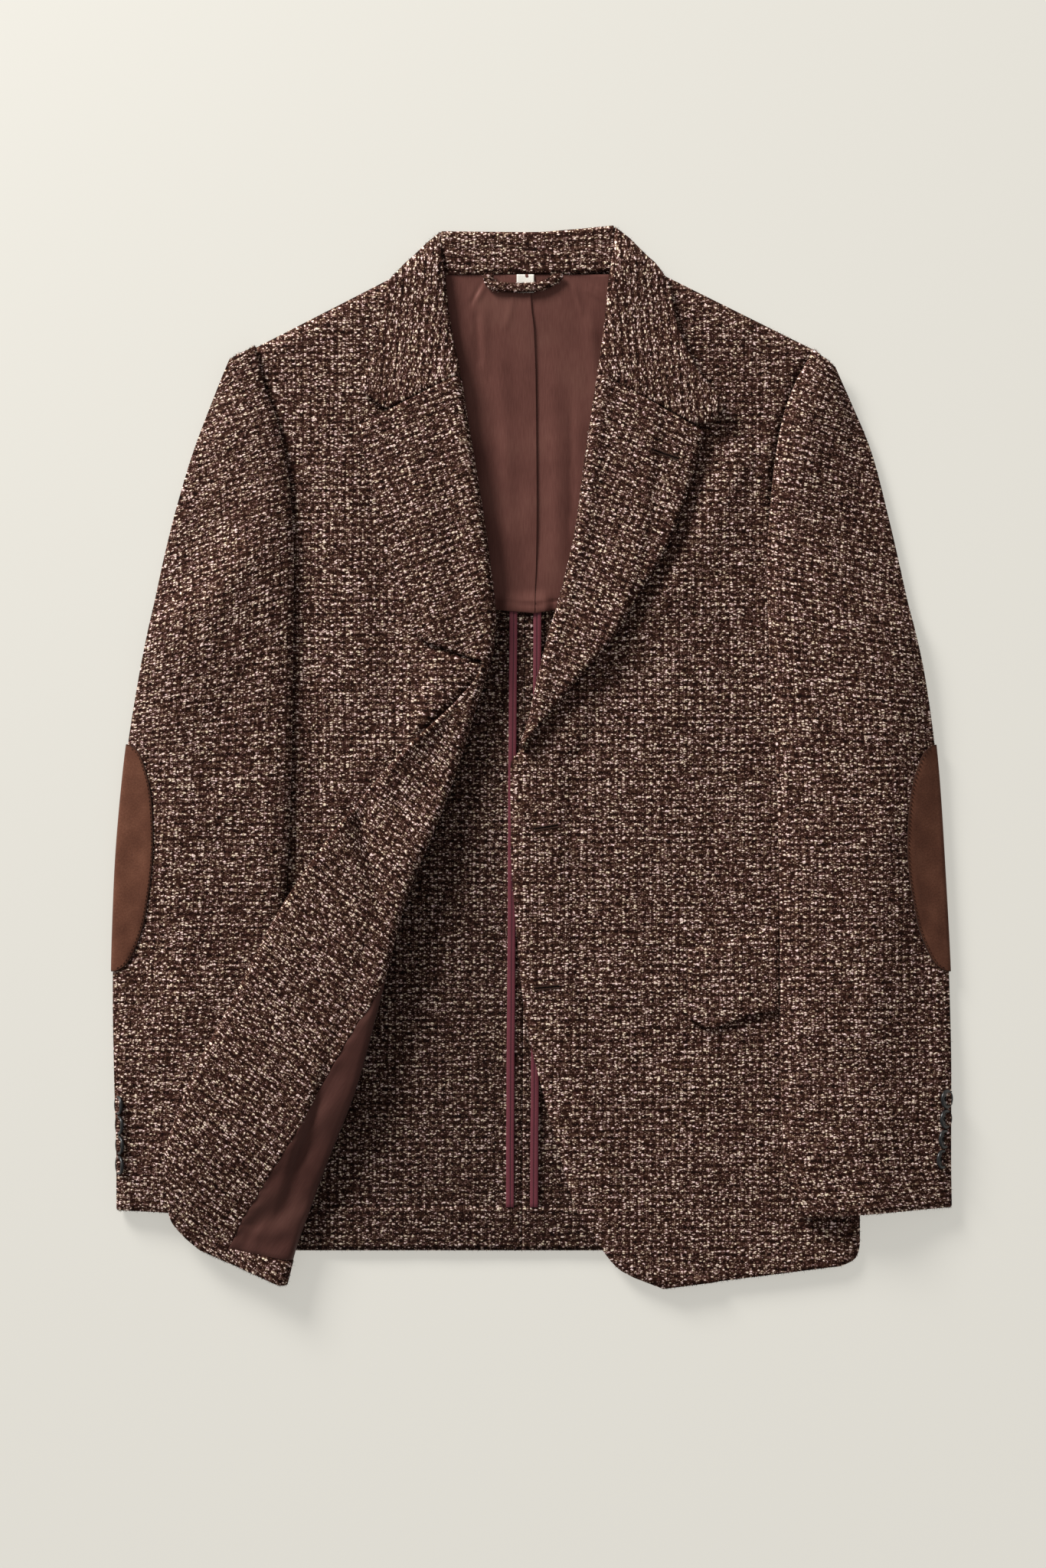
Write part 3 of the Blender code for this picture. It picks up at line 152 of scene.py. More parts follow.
RIGHT_SLEEVE = table("inner_x inner_y outer_x outer_y height outer_height", [
    (-208.5, 310, -228.8, 299, 7.4, 7.4),
    (-203.3, 283.9, -241.6, 269.4, 9.5, 9.5),
    (-191.1, 249.1, -257.2, 228.8, 10, 10),
    (-182.4, 196.9, -274.6, 167.9, 10, 10.5),
    (-180.1, 144.7, -287.4, 109.9, 10, 10.5),
    (-180.7, 75.1, -299, 51.9, 10, 10.5),
    (-181.8, -6.1, -308.3, -9, 10, 10.5),
    (-185.3, -93.1, -315.2, -93.1, 10, 10.5),
    (-190.5, -174.3, -317.5, -174.3, 10, 11),
    (-196.3, -238.1, -316.4, -238.1, 10, 14.5),
    (-201, -301.9, -314.6, -301.9, 9.6, 15),
    (-203.3, -346, -314.6, -340.8, 8, 13),
])
LEFT_SLEEVE = table("inner_x inner_y outer_x outer_y height outer_height", [
    (211.4, 307.1, 228.2, 293.2, 7.4, 7.4),
    (198.6, 283.9, 241.6, 265.3, 9.5, 9.5),
    (187, 249.1, 256.1, 230.5, 10, 10),
    (179.5, 194, 270.6, 174.9, 10, 10.5),
    (176.6, 141.8, 283.3, 118.6, 10, 10.5),
    (178.9, 69.3, 296.7, 58.9, 10, 10.5),
    (183.6, -6.1, 305.4, -6.1, 10, 10.5),
    (185.9, -93.1, 311.2, -93.1, 10, 10.5),
    (186.5, -174.3, 315.2, -174.3, 10, 11),
    (187, -238.1, 316.4, -238.1, 10, 14.5),
    (189.4, -301.9, 316.2, -301.9, 10.5, 16),
    (202.7, -346.5, 316.8, -338.4, 10.5, 14),
])
RIGHT_COLLAR = table("roll_x roll_y edge_x edge_y base edge_z", [
    (-68.7, 397, -81, 386.5, 0.4, 2.4),
    (-68.1, 382, -90.4, 377.7, 5, 3),
    (-67, 370.9, -100.6, 367.4, 8.4, 10.2),
    (-65.2, 354.7, -108.7, 357, 8.6, 10.4),
    (-62.3, 330.3, -112.2, 331.5, 9, 10.4),
    (-57.7, 305.9, -120.9, 300.1, 10.2, 11),
    (-54.2, 290.6, -130.2, 278.6, 11.4, 12.6),
])
LEFT_COLLAR = table("roll_x roll_y edge_x edge_y base edge_z", [
    (61.2, 400.8, 73.9, 390.5, 0.4, 2.4),
    (60.5, 386, 85, 379.5, 5, 3),
    (58.9, 370.9, 95.4, 368.6, 8.4, 10.2),
    (56.5, 354.7, 102.9, 354.7, 8.6, 10.4),
    (54.2, 330.3, 108.2, 328, 9, 12.2),
    (51.3, 305.9, 122.7, 294.3, 10.2, 14.6),
    (48.4, 291.6, 144.7, 268.5, 11.4, 15),
])
# How far the lower end of each collar leaf hangs down, across the leaf.
RIGHT_COLLAR_DIP = table("share dip", [(0, 0), (0.74, 17.8), (1, 0)])
LEFT_COLLAR_DIP = table("share dip", [(0, 0), (0.57, 15.5), (0.75, 21.5), (0.9, 18), (1, 2.5)])
NECK_BAND = table("x seam_y stand_y fold_y", [
    (-68.5, 365.4, 385.2, 398.2),
    (-33, 366, 384.8, 397.8),
    (0, 366.2, 384.8, 397.6),
    (30, 366.2, 386.2, 399.6),
    (60.9, 368.8, 388.6, 402.6),
])
FALL_Y = 354.7  # lower edge of the collar's fall behind the neck
BACK_LINING = table("seam_x seam_y right_x right_y left_x left_y", [
    (-3.2, 365, -66, 365, 58.2, 365),
    (-1.8, 353, -66, 353, 57.4, 353),
    (-0.6, 337, -67, 337, 58, 337),
    (0.9, 325, -70, 325, 62, 325),
    (2.4, 285, -80, 285, 74, 285),
    (2.9, 240, -76, 240, 68, 240),
    (3.2, 190, -68, 190, 60, 190),
    (2.6, 145, -60, 145, 50, 145),
    (1.9, 127, -55, 127, 46, 127),
    (1.7, 116, -52, 118, 44, 119.5),
    (1.5, 109.3, -50, 114, 43, 116.5),
])
BACK_ROWS = table("centre_y side_y", [
    (365, 297.5), (353, 285), (337, 268), (290, 235), (230, 197), (165, 160.9),
    (117, 114.5), (92, 91.3), (74, 73.9), (5.5, 5.5), (-110, -110), (-250, -250),
    (HEM_Y, HEM_Y),
])
CENTRE_SEAM = table("y x", [(HEM_Y, -8.2), (HEM_TURN_Y, -8.1), (110, -5.5), (365, -3.2)])
# The right facing's inner edge, where its lining begins.
FACING_INNER = table("y x", [(-377, -229), (-349.4, -219), (-317, -200.4), (-281, -178.9),
                             (-246.8, -158.6), (-211.4, -138.3), (-189.4, -125.6), (-150, -108)])
# Rows of the right front where its lining begins, where its edge is out on the leg, and where its hem begins.
LINING_TOP_STATION, LINING_LEG_STATION, LINING_HEM_STATION = 10.4, 11.35, 15.35
POCKET_FLAP = table("x top_y bottom_y", [
    (118, -144.5, -196), (134, -143, -203.6), (150, -138.5, -199), (168, -132.5, -193),
    (185.2, -126.5, -190.5),
])
HANGER_PATH = table("x y", [(-33.4, 364.6), (-33, 360), (-29.8, 356.6), (-22, 355.2), (-10, 354.8),
                            (2, 355.4), (12, 358.4), (21, 364.8)])
HANGER_WIDTH = 7.0
LABEL_BOX = (-11.9, 0.9, 351.5, 365)  # low and high x, low and high y
# An elbow patch: how far in from the sleeve's outer fold it reaches at each height.
PATCH = table("y reach", [(7.8, 3), (3, 9.5), (-9, 16.5), (-35, 24), (-76.5, 28.5), (-118, 24.5),
                          (-144, 16.5), (-156, 9.5), (-160.2, 3)])

# Soft creases that show in the cloth, each from one end to the other, with how far it stands up (or, if
# negative, sinks in) and how wide it is.
CREASES = table("x1 y1 x2 y2 rise width", [
    (-76, -30, -150, -290, 5, 32),
    (-50, 268, -34, 108, 1.5, 13),
    (104, 325, 128, 235, 1.5, 20),
    (160, 236, 128, 160, 1.7, 14),
    (128, 160, 62, 72, 1.7, 14),
    (-122, 235, -104, 40, -0.9, 12),
    (-150, 215, -128, 20, 0.8, 22),
    (-186, 150, -165, -60, -0.7, 14),
    (-66, 45, -150, -30, 0.8, 14),
    (112, 150, 150, 131, -0.7, 7),
    (90, 130, 165, 108, 0.6, 9),
    (60, 40, 118, 30, 0.5, 10),
    (134.5, -26, 136.5, -100, -0.7, 1.8),
    (20, -66, 80, -84, 0.5, 8),
    (30, -165, 110, -180, 0.6, 12),
    (40, -260, 150, -240, 0.6, 16),
    (150, 250, 160, 120, 0.7, 16),
    (120, -290, 128, -385, 0.8, 16),
    (178, -300, 182, -385, -0.7, 12),
])
SLEEVE_CREASES = table("x1 y1 x2 y2 rise width", [
    (-215, 160, -262, 60, 0.9, 12),
    (-200, 90, -240, 20, -0.8, 9),
    (-205, -10, -262, -60, 0.8, 10),
    (-268, -40, -292, -120, 0.7, 9),
    (-262, -170, -292, -240, 0.8, 12),
    (-240, 230, -262, 150, -0.7, 9),
    (-232, 280, -236, 190, 0.7, 8),
    (213, 150, 258, 60, 0.9, 12),
    (200, 90, 238, 20, -0.8, 9),
    (206, -20, 268, -70, 0.9, 10),
    (262, -50, 286, -130, 0.7, 9),
    (210, -150, 262, -190, 0.8, 12),
    (225, -225, 282, -255, -0.7, 10),
    (238, 235, 262, 150, -0.7, 9),
    (230, 285, 236, 190, 0.7, 8),
    (214, -300, 262, -285, 0.7, 9),
])
LINING_CREASES = table("x1 y1 x2 y2 rise width", [
    (-36.8, 362, -46.7, 343, -1.2, 1.3),
    (-33.5, 362, -43, 345, 0.7, 2.4),
    (-42.6, 336, -40.5, 298, -0.9, 2.2),
    (-37, 340, -36, 290, 0.7, 4),
    (-55, 330, -49, 262, 0.8, 5),
    (-24, 300, -14.5, 128, 1.1, 6.5),
    (-40, 250, -30, 175, 0.7, 6),
    (17, 285, 20, 132, 1.1, 6.5),
    (29, 270, 30, 150, -0.7, 3.5),
    (43, 335, 50, 268, 0.8, 5),
    (37, 359, 56, 350, 0.6, 1.3),
    (39, 354, 57, 345, 0.6, 1.4),
    (31, 357, 38, 335, 0.5, 2),
    (-14, 350, -20, 325, 0.4, 3),
])


# ---------------------------------------------------------------- curves


def ease(share):
    """0 to 1 in a smooth step as share goes from 0 to 1."""
    share = np.clip(share, 0.0, 1.0)
    return share * share * (3.0 - 2.0 * share)


def quarter(share):
    """The height of a quarter circle as share goes from its foot, 0, to its top, 1."""
    return np.sqrt(np.clip(1.0 - (1.0 - np.clip(share, 0.0, 1.0)) ** 2, 0.0, 1.0))


def smooth(values, stations):
    """A curve through evenly spaced values, without overshoot, read at stations counted in rows."""
    steps = np.diff(values)
    slopes = np.concatenate([steps[:1], np.zeros(len(steps) - 1), steps[-1:]])
    before, after = steps[:-1], steps[1:]
    same_way = before * after > 0
    slopes[1:-1][same_way] = 2 * (before * after)[same_way] / (before + after)[same_way]
    stations = np.asarray(stations, float)
    row = np.clip(stations.astype(int), 0, len(values) - 2)
    share = stations - row
    rest = 1.0 - share
    return (values[row] * (1 + 2 * share) * rest ** 2 + values[row + 1] * (1 + 2 * rest) * share ** 2
            + slopes[row] * share * rest ** 2 - slopes[row + 1] * rest * share ** 2)


def read(rows, stations, *columns):
    """Smooth curves through columns of a table, at stations."""
    return [smooth(rows[column], stations) for column in columns]


def by_height(curve, y):
    """x at the height y of a curve given by x and y."""
    order = np.argsort(curve["y"])
    return np.interp(y, curve["y"][order], curve["x"][order])


def dense(y, spacing=GRID):
    """Stations between all rows of a table, spaced this closely along it."""
    found = []
    for row, length in enumerate(np.abs(np.diff(y))):
        count = max(1, int(round(length / spacing)))
        found.append(row + np.arange(count) / count)
    return np.append(np.concatenate(found), len(y) - 1.0)


def noise(x, y, size, seed):
    """Smooth hills and hollows between -1 and 1, about this far apart."""
    random = np.random.default_rng(seed)
    total = np.zeros(np.broadcast(x, y).shape)
    for _ in range(7):
        angle, phase = random.uniform(0, 2 * math.pi, 2)
        length = size * random.uniform(0.7, 1.6)
        total += np.sin(2 * math.pi * (x * math.cos(angle) + y * math.sin(angle)) / length + phase)
    return total / 4.0


def creased(creases, x, y):
    """Height of a table of creases at x and y."""
    total = np.zeros(np.broadcast(x, y).shape)
    for x1, y1, x2, y2, rise, width in zip(*(creases[c] for c in "x1 y1 x2 y2 rise width".split())):
        length = math.hypot(x2 - x1, y2 - y1)
        along = ((x - x1) * (x2 - x1) + (y - y1) * (y2 - y1)) / length ** 2
        aside = ((x - x1) * (y2 - y1) - (y - y1) * (x2 - x1)) / length
        fade = ease(along * 3.0 + 0.4) * ease((1.0 - along) * 3.0 + 0.4)
        total = total + rise * fade * np.exp(-(aside / width) ** 2)
    return total


def relief(x, y):
    """How the cloth of the fronts, and of all that lies on them, stands off its plain shape."""
    return CREASE_SCALE * creased(CREASES, x, y) + 0.65 * noise(x, y, 72.0, 3) + 0.2 * noise(x, y, 26.0, 5)


# ---------------------------------------------------------------- sheets


def normals(grid, keep):
    """The direction across the sheet at each grid point, from the cells around it that are kept."""
    cell = np.cross(grid[1:, 1:] - grid[:-1, :-1], grid[1:, :-1] - grid[:-1, 1:]) * keep[..., None]
    total = np.zeros_like(grid)
    for rows in (slice(None, -1), slice(1, None)):
        for columns in (slice(None, -1), slice(1, None)):
            total[rows, columns] += cell
    length = np.linalg.norm(total, axis=2, keepdims=True)
    return total / np.where(length == 0, 1, length)


def arc_lengths(grid, axis):
    """Distance along the grid's rows (axis 1) or columns (axis 0), from its first point."""
    steps = np.linalg.norm(np.diff(grid, axis=axis), axis=2)
    lead = np.zeros((1, grid.shape[1])) if axis == 0 else np.zeros((grid.shape[0], 1))
    return np.concatenate([lead, np.cumsum(steps, axis=axis)], axis=axis)


SHEETS = []
RIMS = {}  # for each sheet, the points of its edge, the directions out and up from them, and its thickness
EDGE_BULGE, EDGE_ROUND = 0.28, 0.27  # how far a sheet's edge bulges out, and its half height, in thicknesses
NARROW = 0.01  # in metres
SLOTS = {"facing": "tweed_facing", "front_hem": "tweed_facing", "lining": "satin", "binding": "binding",
         "patch": "suede", "label": "label"}


def slot_of(name):
    """The record's material slot for a node's cloth, found from its name."""
    return next((slot for part, slot in SLOTS.items() if part in name), "tweed")


def piece(name, points, faces, finish, slot, marks=None):
    """An object made of these points and faces, with the weave's coordinates in marks."""
    mesh = bpy.data.meshes.new(name)
    place = (np.asarray(points) - (*MIDDLE, 0.0)) * MM
    mesh.from_pydata(place.tolist(), [], [tuple(int(k) for k in face) for face in faces])
    if marks is not None:
        stored = mesh.attributes.new("weave", "FLOAT_VECTOR", "POINT")
        stored.data.foreach_set("vector", np.asarray(marks, np.float32).ravel())
    mesh.shade_smooth()
    mesh.materials.append(finish)
    mesh.update()
    made = bpy.data.objects.new("coat_" + name, mesh)
    bpy.context.scene.collection.objects.link(made)
    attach(made, "root")
    return made


def vertex_places(mesh):
    """A mesh's points in metres, one to a row."""
    found = np.empty(len(mesh.vertices) * 3, np.float32)
    mesh.vertices.foreach_get("co", found)
    return found.reshape(-1, 3)


def sheet(name, middle, thickness, finish, weave, keep=None):
    """A cloth sheet about a grid of points, with soft rounded edges, in place of its CAD node. Only the
    cells of the grid that are in keep are made."""
    rows, columns = middle.shape[:2]
    keep = np.ones((rows - 1, columns - 1), bool) if keep is None else keep
    across = normals(middle, keep)
    number = np.arange(rows * columns).reshape(rows, columns)
    flat = middle.reshape(-1, 3)
    count = rows * columns
    i, j = np.nonzero(keep)
    a, b, c, d = number[i, j], number[i, j + 1], number[i + 1, j + 1], number[i + 1, j]
    faces = [np.stack([a, b, c, d], 1), np.stack([d, c, b, a], 1) + count]
    padded = np.pad(keep, 1)
    rims = []
    for start, end, row, column in ((a, b, -1, 0), (b, c, 0, 1), (c, d, 1, 0), (d, a, 0, -1)):
        open_side = ~padded[i + 1 + row, j + 1 + column]
        rims.append(np.stack([start[open_side], end[open_side]], 1))
    rim = np.concatenate(rims)
    normal = across.reshape(-1, 3)
    outward = np.cross(flat[rim[:, 1]] - flat[rim[:, 0]], normal[rim[:, 0]])
    outward /= np.maximum(np.linalg.norm(outward, axis=1, keepdims=True), 1e-9)
    away = np.zeros_like(flat)
    np.add.at(away, rim[:, 0], outward)
    np.add.at(away, rim[:, 1], outward)
    away /= np.maximum(np.linalg.norm(away, axis=1, keepdims=True), 1e-9)
    half, round_ = normal * thickness / 2, normal * thickness * EDGE_ROUND
    bulged = flat + away * thickness * EDGE_BULGE
    points = np.concatenate([flat + half, flat - half, bulged + round_, bulged - round_])
    points[:, 2] = np.maximum(points[:, 2], 0.0)
    s, e = rim[:, 0], rim[:, 1]
    for above, below in ((0, 2 * count), (2 * count, 3 * count), (3 * count, count)):
        faces.append(np.stack([e + above, s + above, s + below, e + below], 1))
    faces = np.concatenate(faces)
    used, renumbered = np.unique(faces, return_inverse=True)
    faces = renumbered.reshape(faces.shape)
    tree = KDTree(len(rim))
    for index, corner in enumerate(flat[s]):
        tree.insert(Vector(corner), index)
    tree.balance()
    rim_distance = np.array([tree.find(Vector(point))[2] for point in flat])
    marks = np.concatenate([weave.reshape(-1, 2), rim_distance[:, None]], axis=1)[used % count]
    made = piece(name, points[used], faces, finish, slot_of(name), marks)
    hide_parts(name)
    # Flat, the piece is as wide as its longest row, along the cloth.
    wide = float((np.linalg.norm(middle[:-1, 1:] - middle[:-1, :-1], axis=2) * keep).sum(axis=1).max()) * MM
    wide = wide * 2.0 if wide < NARROW else wide  # a narrow tape is folded over, so it is cut twice as wide
    SHEETS.append(made)
    RIMS[name] = (flat[rim[:, 0]], outward, normal[rim[:, 0]], thickness)
    return made


def grain(place, tilt, pivot=(0.0, 0.0)):
    """Weave coordinates whose warp leans by tilt degrees, its lower end toward +X."""
    lean = np.radians(tilt)
    x, y = place[..., 0] - pivot[0], place[..., 1] - pivot[1]
    return np.stack([x * np.cos(lean) + y * np.sin(lean), y * np.cos(lean) - x * np.sin(lean)], axis=-1)


# ---------------------------------------------------------------- the body's sides and the sleeves


def side_curve(hand):
    """The body's side from shoulder to hem, as y and distance from the middle."""
    tables = [RIGHT_NECK, RIGHT_FRONT] if hand < 0 else [LEFT_NECK, LEFT_FRONT, LEFT_EDGE]
    y = np.concatenate([rows["side_y"] for rows in tables])
    x = np.concatenate([np.abs(rows["side_x"]) for rows in tables])
    return {"y": y, "x": x}


def inset_side(hand, distance):
    """The side curve moved in by a distance."""
    curve = side_curve(hand)
    order = np.argsort(curve["y"])
    y, x = curve["y"][order], curve["x"][order]
    ahead = np.gradient(np.stack([x, y]), axis=1)
    ahead /= np.hypot(*ahead)
    return {"y": y + ahead[0] * distance, "x": x - ahead[1] * distance}


def body_support(hand, x, y):
    """What a sleeve lies on: the body, and past its side a slope down to the surface."""
    side = side_curve(hand)
    reach = np.maximum(np.maximum(by_height(side, y - 9.0), by_height(side, y + 9.0)), by_height(side, y))
    return BODY_TOP * (1.0 - ease((np.abs(x) - reach - 3.0) / SLEEVE_SLOPE))


SLEEVES = {-1: RIGHT_SLEEVE, 1: LEFT_SLEEVE}
FOLDS = ("inner_x", "inner_y", "outer_x", "outer_y")


def sleeve_station(hand, y):
    """The station at which a sleeve's outer fold has this y."""
    outer = SLEEVES[hand]["outer_y"]
    return np.interp(y, outer[::-1], np.arange(len(outer), dtype=float)[::-1])


def sleeve_rise(rows, stations, from_outer, width):
    """Height of the middle of the top wall over the sleeve's underside: where the wall is widest, and
    from there to its top."""
    height, outer_height = read(rows, stations, "height", "outer_height")
    grown = height + (outer_height - height) * (1.0 - ease(from_outer / 55.0))
    widest = (0.27 + 0.18 * ease((0.7 - from_outer / width) / 0.4)) * grown
    rise = grown - SLEEVE_WALL / 2 - widest
    return widest, rise * (0.25 + 0.75 * (1.0 - (1.0 - np.clip(from_outer / 58.0, 0, 1)) ** 2))


def sleeve_point(hand, stations, round_):
    """Points of the top sleeve's wall. round_ runs from 0 at the lower inner edge: 1 is the inner fold,
    2 to 3 the top, 4 the outer fold and 5 the lower outer edge."""
    rows = SLEEVES[hand]
    inner_x, inner_y, outer_x, outer_y = read(rows, stations, *FOLDS)
    round_ = np.broadcast_to(round_, inner_x.shape)
    width = np.hypot(outer_x - inner_x, outer_y - inner_y)
    fit = np.clip(width / 42.0, 0.4, 1.0)
    inner_half = round_ < 2.5
    place = np.where(inner_half, round_, 5.0 - round_)
    curl = np.where(inner_half, CURL_IN, CURL_OUT) * fit
    half = SLEEVE_WALL / 2
    low, high = place < 1.0, place < 2.0
    angle = np.where(low, 1.0 - place, np.where(high, place - 1.0, 1.0)) * math.pi / 2
    reach = half + np.where(low, SLEEVE_TUCK * fit, curl) * (1.0 - np.cos(angle))
    flat = width - 2 * half - (CURL_IN + CURL_OUT) * fit
    onward = np.where(inner_half, round_ - 2.0, 3.0 - round_)
    reach = reach + flat * np.where(high, 0.0, onward)
    from_inner = np.where(inner_half, reach, width - reach)
    widest, rise = sleeve_rise(rows, stations, width - from_inner, width)
    height = np.where(low, widest - (widest - half) * np.sin(angle), widest + rise * np.sin(angle))
    share = from_inner / width
    x = inner_x + (outer_x - inner_x) * share
    y = inner_y + (outer_y - inner_y) * share
    top = ease((place - 1.4) / 0.9) * ease(width / 60.0)
    folds = CREASE_SCALE * creased(SLEEVE_CREASES, x, y)
    folds = (folds + 0.6 * noise(x, y, 60.0, 11) + 0.2 * noise(x, y, 24.0, 12)) * top
    clear_of_flap = 1.0 if hand > 0 else ease((y - 20.0) / 60.0)
    crown = SLEEVE_CROWN * np.sin(math.pi * share) * ease(width / 70.0) ** 2 * top * clear_of_flap
    return np.stack([x, y, body_support(hand, x, y) + height + folds + crown], axis=-1)


# A smooth cover over the sleeve: how far in from the sleeve's inner fold it begins, its height over the body,
# how wide its rise to that is, where it ends past the cuff, and over what length it comes down to that end.
COVER_REACH = table("y reach", [
    (-345, 29), (-305, 38), (-250, 52), (-180, 70), (-110, 88), (-40, 58), (30, 29),
])
COVER_HEIGHT = table("y height", [(-345, 9.6), (-300, 11), (-90, 12.2)])
COVER_RISE, COVER_END_Y, COVER_FALL = 22.0, -398.0, 140.0


def sleeve_top(hand, x, y):
    """Height of that cover, for what lies on the sleeve."""
    rows = SLEEVES[hand]
    order = np.argsort(rows["inner_y"])
    inner = np.interp(y, rows["inner_y"][order], np.abs(rows["inner_x"])[order])
    reach = np.interp(y, COVER_REACH["y"], COVER_REACH["reach"])
    height = np.interp(y, COVER_HEIGHT["y"], COVER_HEIGHT["height"])
    onto = ease((np.abs(x) - inner + reach) / COVER_RISE)
    past = np.clip((y - COVER_END_Y) / COVER_FALL, 0.0, 1.0)
    cuff = past * (2.0 - past)
    return (body_support(hand, x, y) + height) * onto * cuff


SLEEVE_WEAVE = 700.0  # the two sleeves are cut this far, each way, from the rest of the weave


def top_sleeve(hand, side, finish):
    """A sleeve's upper wall, with its lower edges tucked under."""
    stations = dense(SLEEVES[hand]["outer_y"], 4.5)
    places = np.concatenate([np.linspace(0, 2, 19), np.linspace(2, 3, 36)[1:-1], np.linspace(3, 5, 19)])
    grid = np.stack([sleeve_point(hand, stations, place) for place in places], axis=1)
    around = arc_lengths(grid, 1)
    along = arc_lengths(grid, 0).mean(axis=1, keepdims=True) + np.zeros_like(around)
    weave = np.stack([around + SLEEVE_WEAVE * hand, -along], axis=-1)
    return sheet(f"top_sleeve_{side}", grid, SLEEVE_WALL, finish, weave)


def under_sleeve(hand, side, finish):
    """A sleeve's flat lower wall."""
    stations = dense(SLEEVES[hand]["outer_y"], 6.0)
    stations = stations[stations >= 1.0]
    rows = SLEEVES[hand]
    inner_x, inner_y, outer_x, outer_y = read(rows, stations, *FOLDS)
    width = np.hypot(outer_x - inner_x, outer_y - inner_y)
    inset = SLEEVE_WALL / 2 + SLEEVE_TUCK + 1.6
    reach = inset + (width - 2 * inset)[:, None] * np.linspace(0, 1, 20)
    along = reach / width[:, None]
    x = inner_x[:, None] + (outer_x - inner_x)[:, None] * along
    y = inner_y[:, None] + (outer_y - inner_y)[:, None] * along
    height = body_support(hand, x, y) + UNDER_SLEEVE_WALL / 2
    grid = np.stack([x, y, height], axis=-1)
    return sheet(f"under_sleeve_{side}", grid, UNDER_SLEEVE_WALL - 0.2, finish, grid[..., :2] + 30.0)


# ---------------------------------------------------------------- fronts


def joined(neck, body, edge=None):
    """One table of a front's rows from shoulder to hem. Rows with no turned part end at their edge."""
    hand = math.copysign(1.0, body["side_x"][0])
    parts = [(neck, neck["neck_x"], neck["neck_y"]), (body, body["roll_x"] + hand * ROLL, body["roll_y"])]
    if edge is not None:
        parts.append((edge, edge["edge_x"], edge["edge_y"]))
    columns = zip(*((part["side_x"], part["side_y"], end_x, end_y) for part, end_x, end_y in parts))
    return dict(zip(("side_x", "side_y", "end_x", "end_y"), map(np.concatenate, columns)))


def front_height(from_end, tuck):
    """Height of the middle of a front's wall this far from its roll, over a facing this wide."""
    return FRONT_LEVEL + (FRONT_OVER_FACING - FRONT_LEVEL) * (1.0 - ease((from_end - tuck - 4.0) / 10.0))


CHEST_X, CHEST_WIDE, CHEST_Y, CHEST_HIGH, CHEST_RISE = 112.0, 45.0, 120.0, 120.0, 1.6


def chest(x, y):
    """How far a front stands off its level: a swelling at the chest, and the relief, which fades toward the
    side."""
    across = (np.abs(x) - CHEST_X) / CHEST_WIDE
    along = (y - CHEST_Y) / CHEST_HIGH
    clear = 1.0 - ease((np.abs(x) - 160.0) / 16.0)
    swelling = CHEST_RISE * np.exp(-across ** 2 - along ** 2) * (1.0 - ease((np.abs(x) - 135.0) / 35.0))
    return swelling + relief(x, y) * clear


# Columns of a front's grid: the shares of the roll's arc, the number on the turned leg, the number from the
# side's bend to the roll, and the shares of a facing's width behind the front.
ARC = np.linspace(0.0, 1.0, 13)[1:]
LEG = 34
LYING = 56
HIDDEN = np.linspace(1.0, 0.0, 8)


def facing_share(stations):
    """How far out on the turned leg the right facing's inner edge is, from 0 at the roll to 1 at the edge."""
    roll_x, roll_y, edge_x = read(RIGHT_FRONT, stations, "roll_x", "roll_y", "edge_x")
    inner = by_height(FACING_INNER, roll_y)
    return np.clip((roll_x - ROLL - inner) / (roll_x - ROLL - edge_x), 0.0, 1.0)


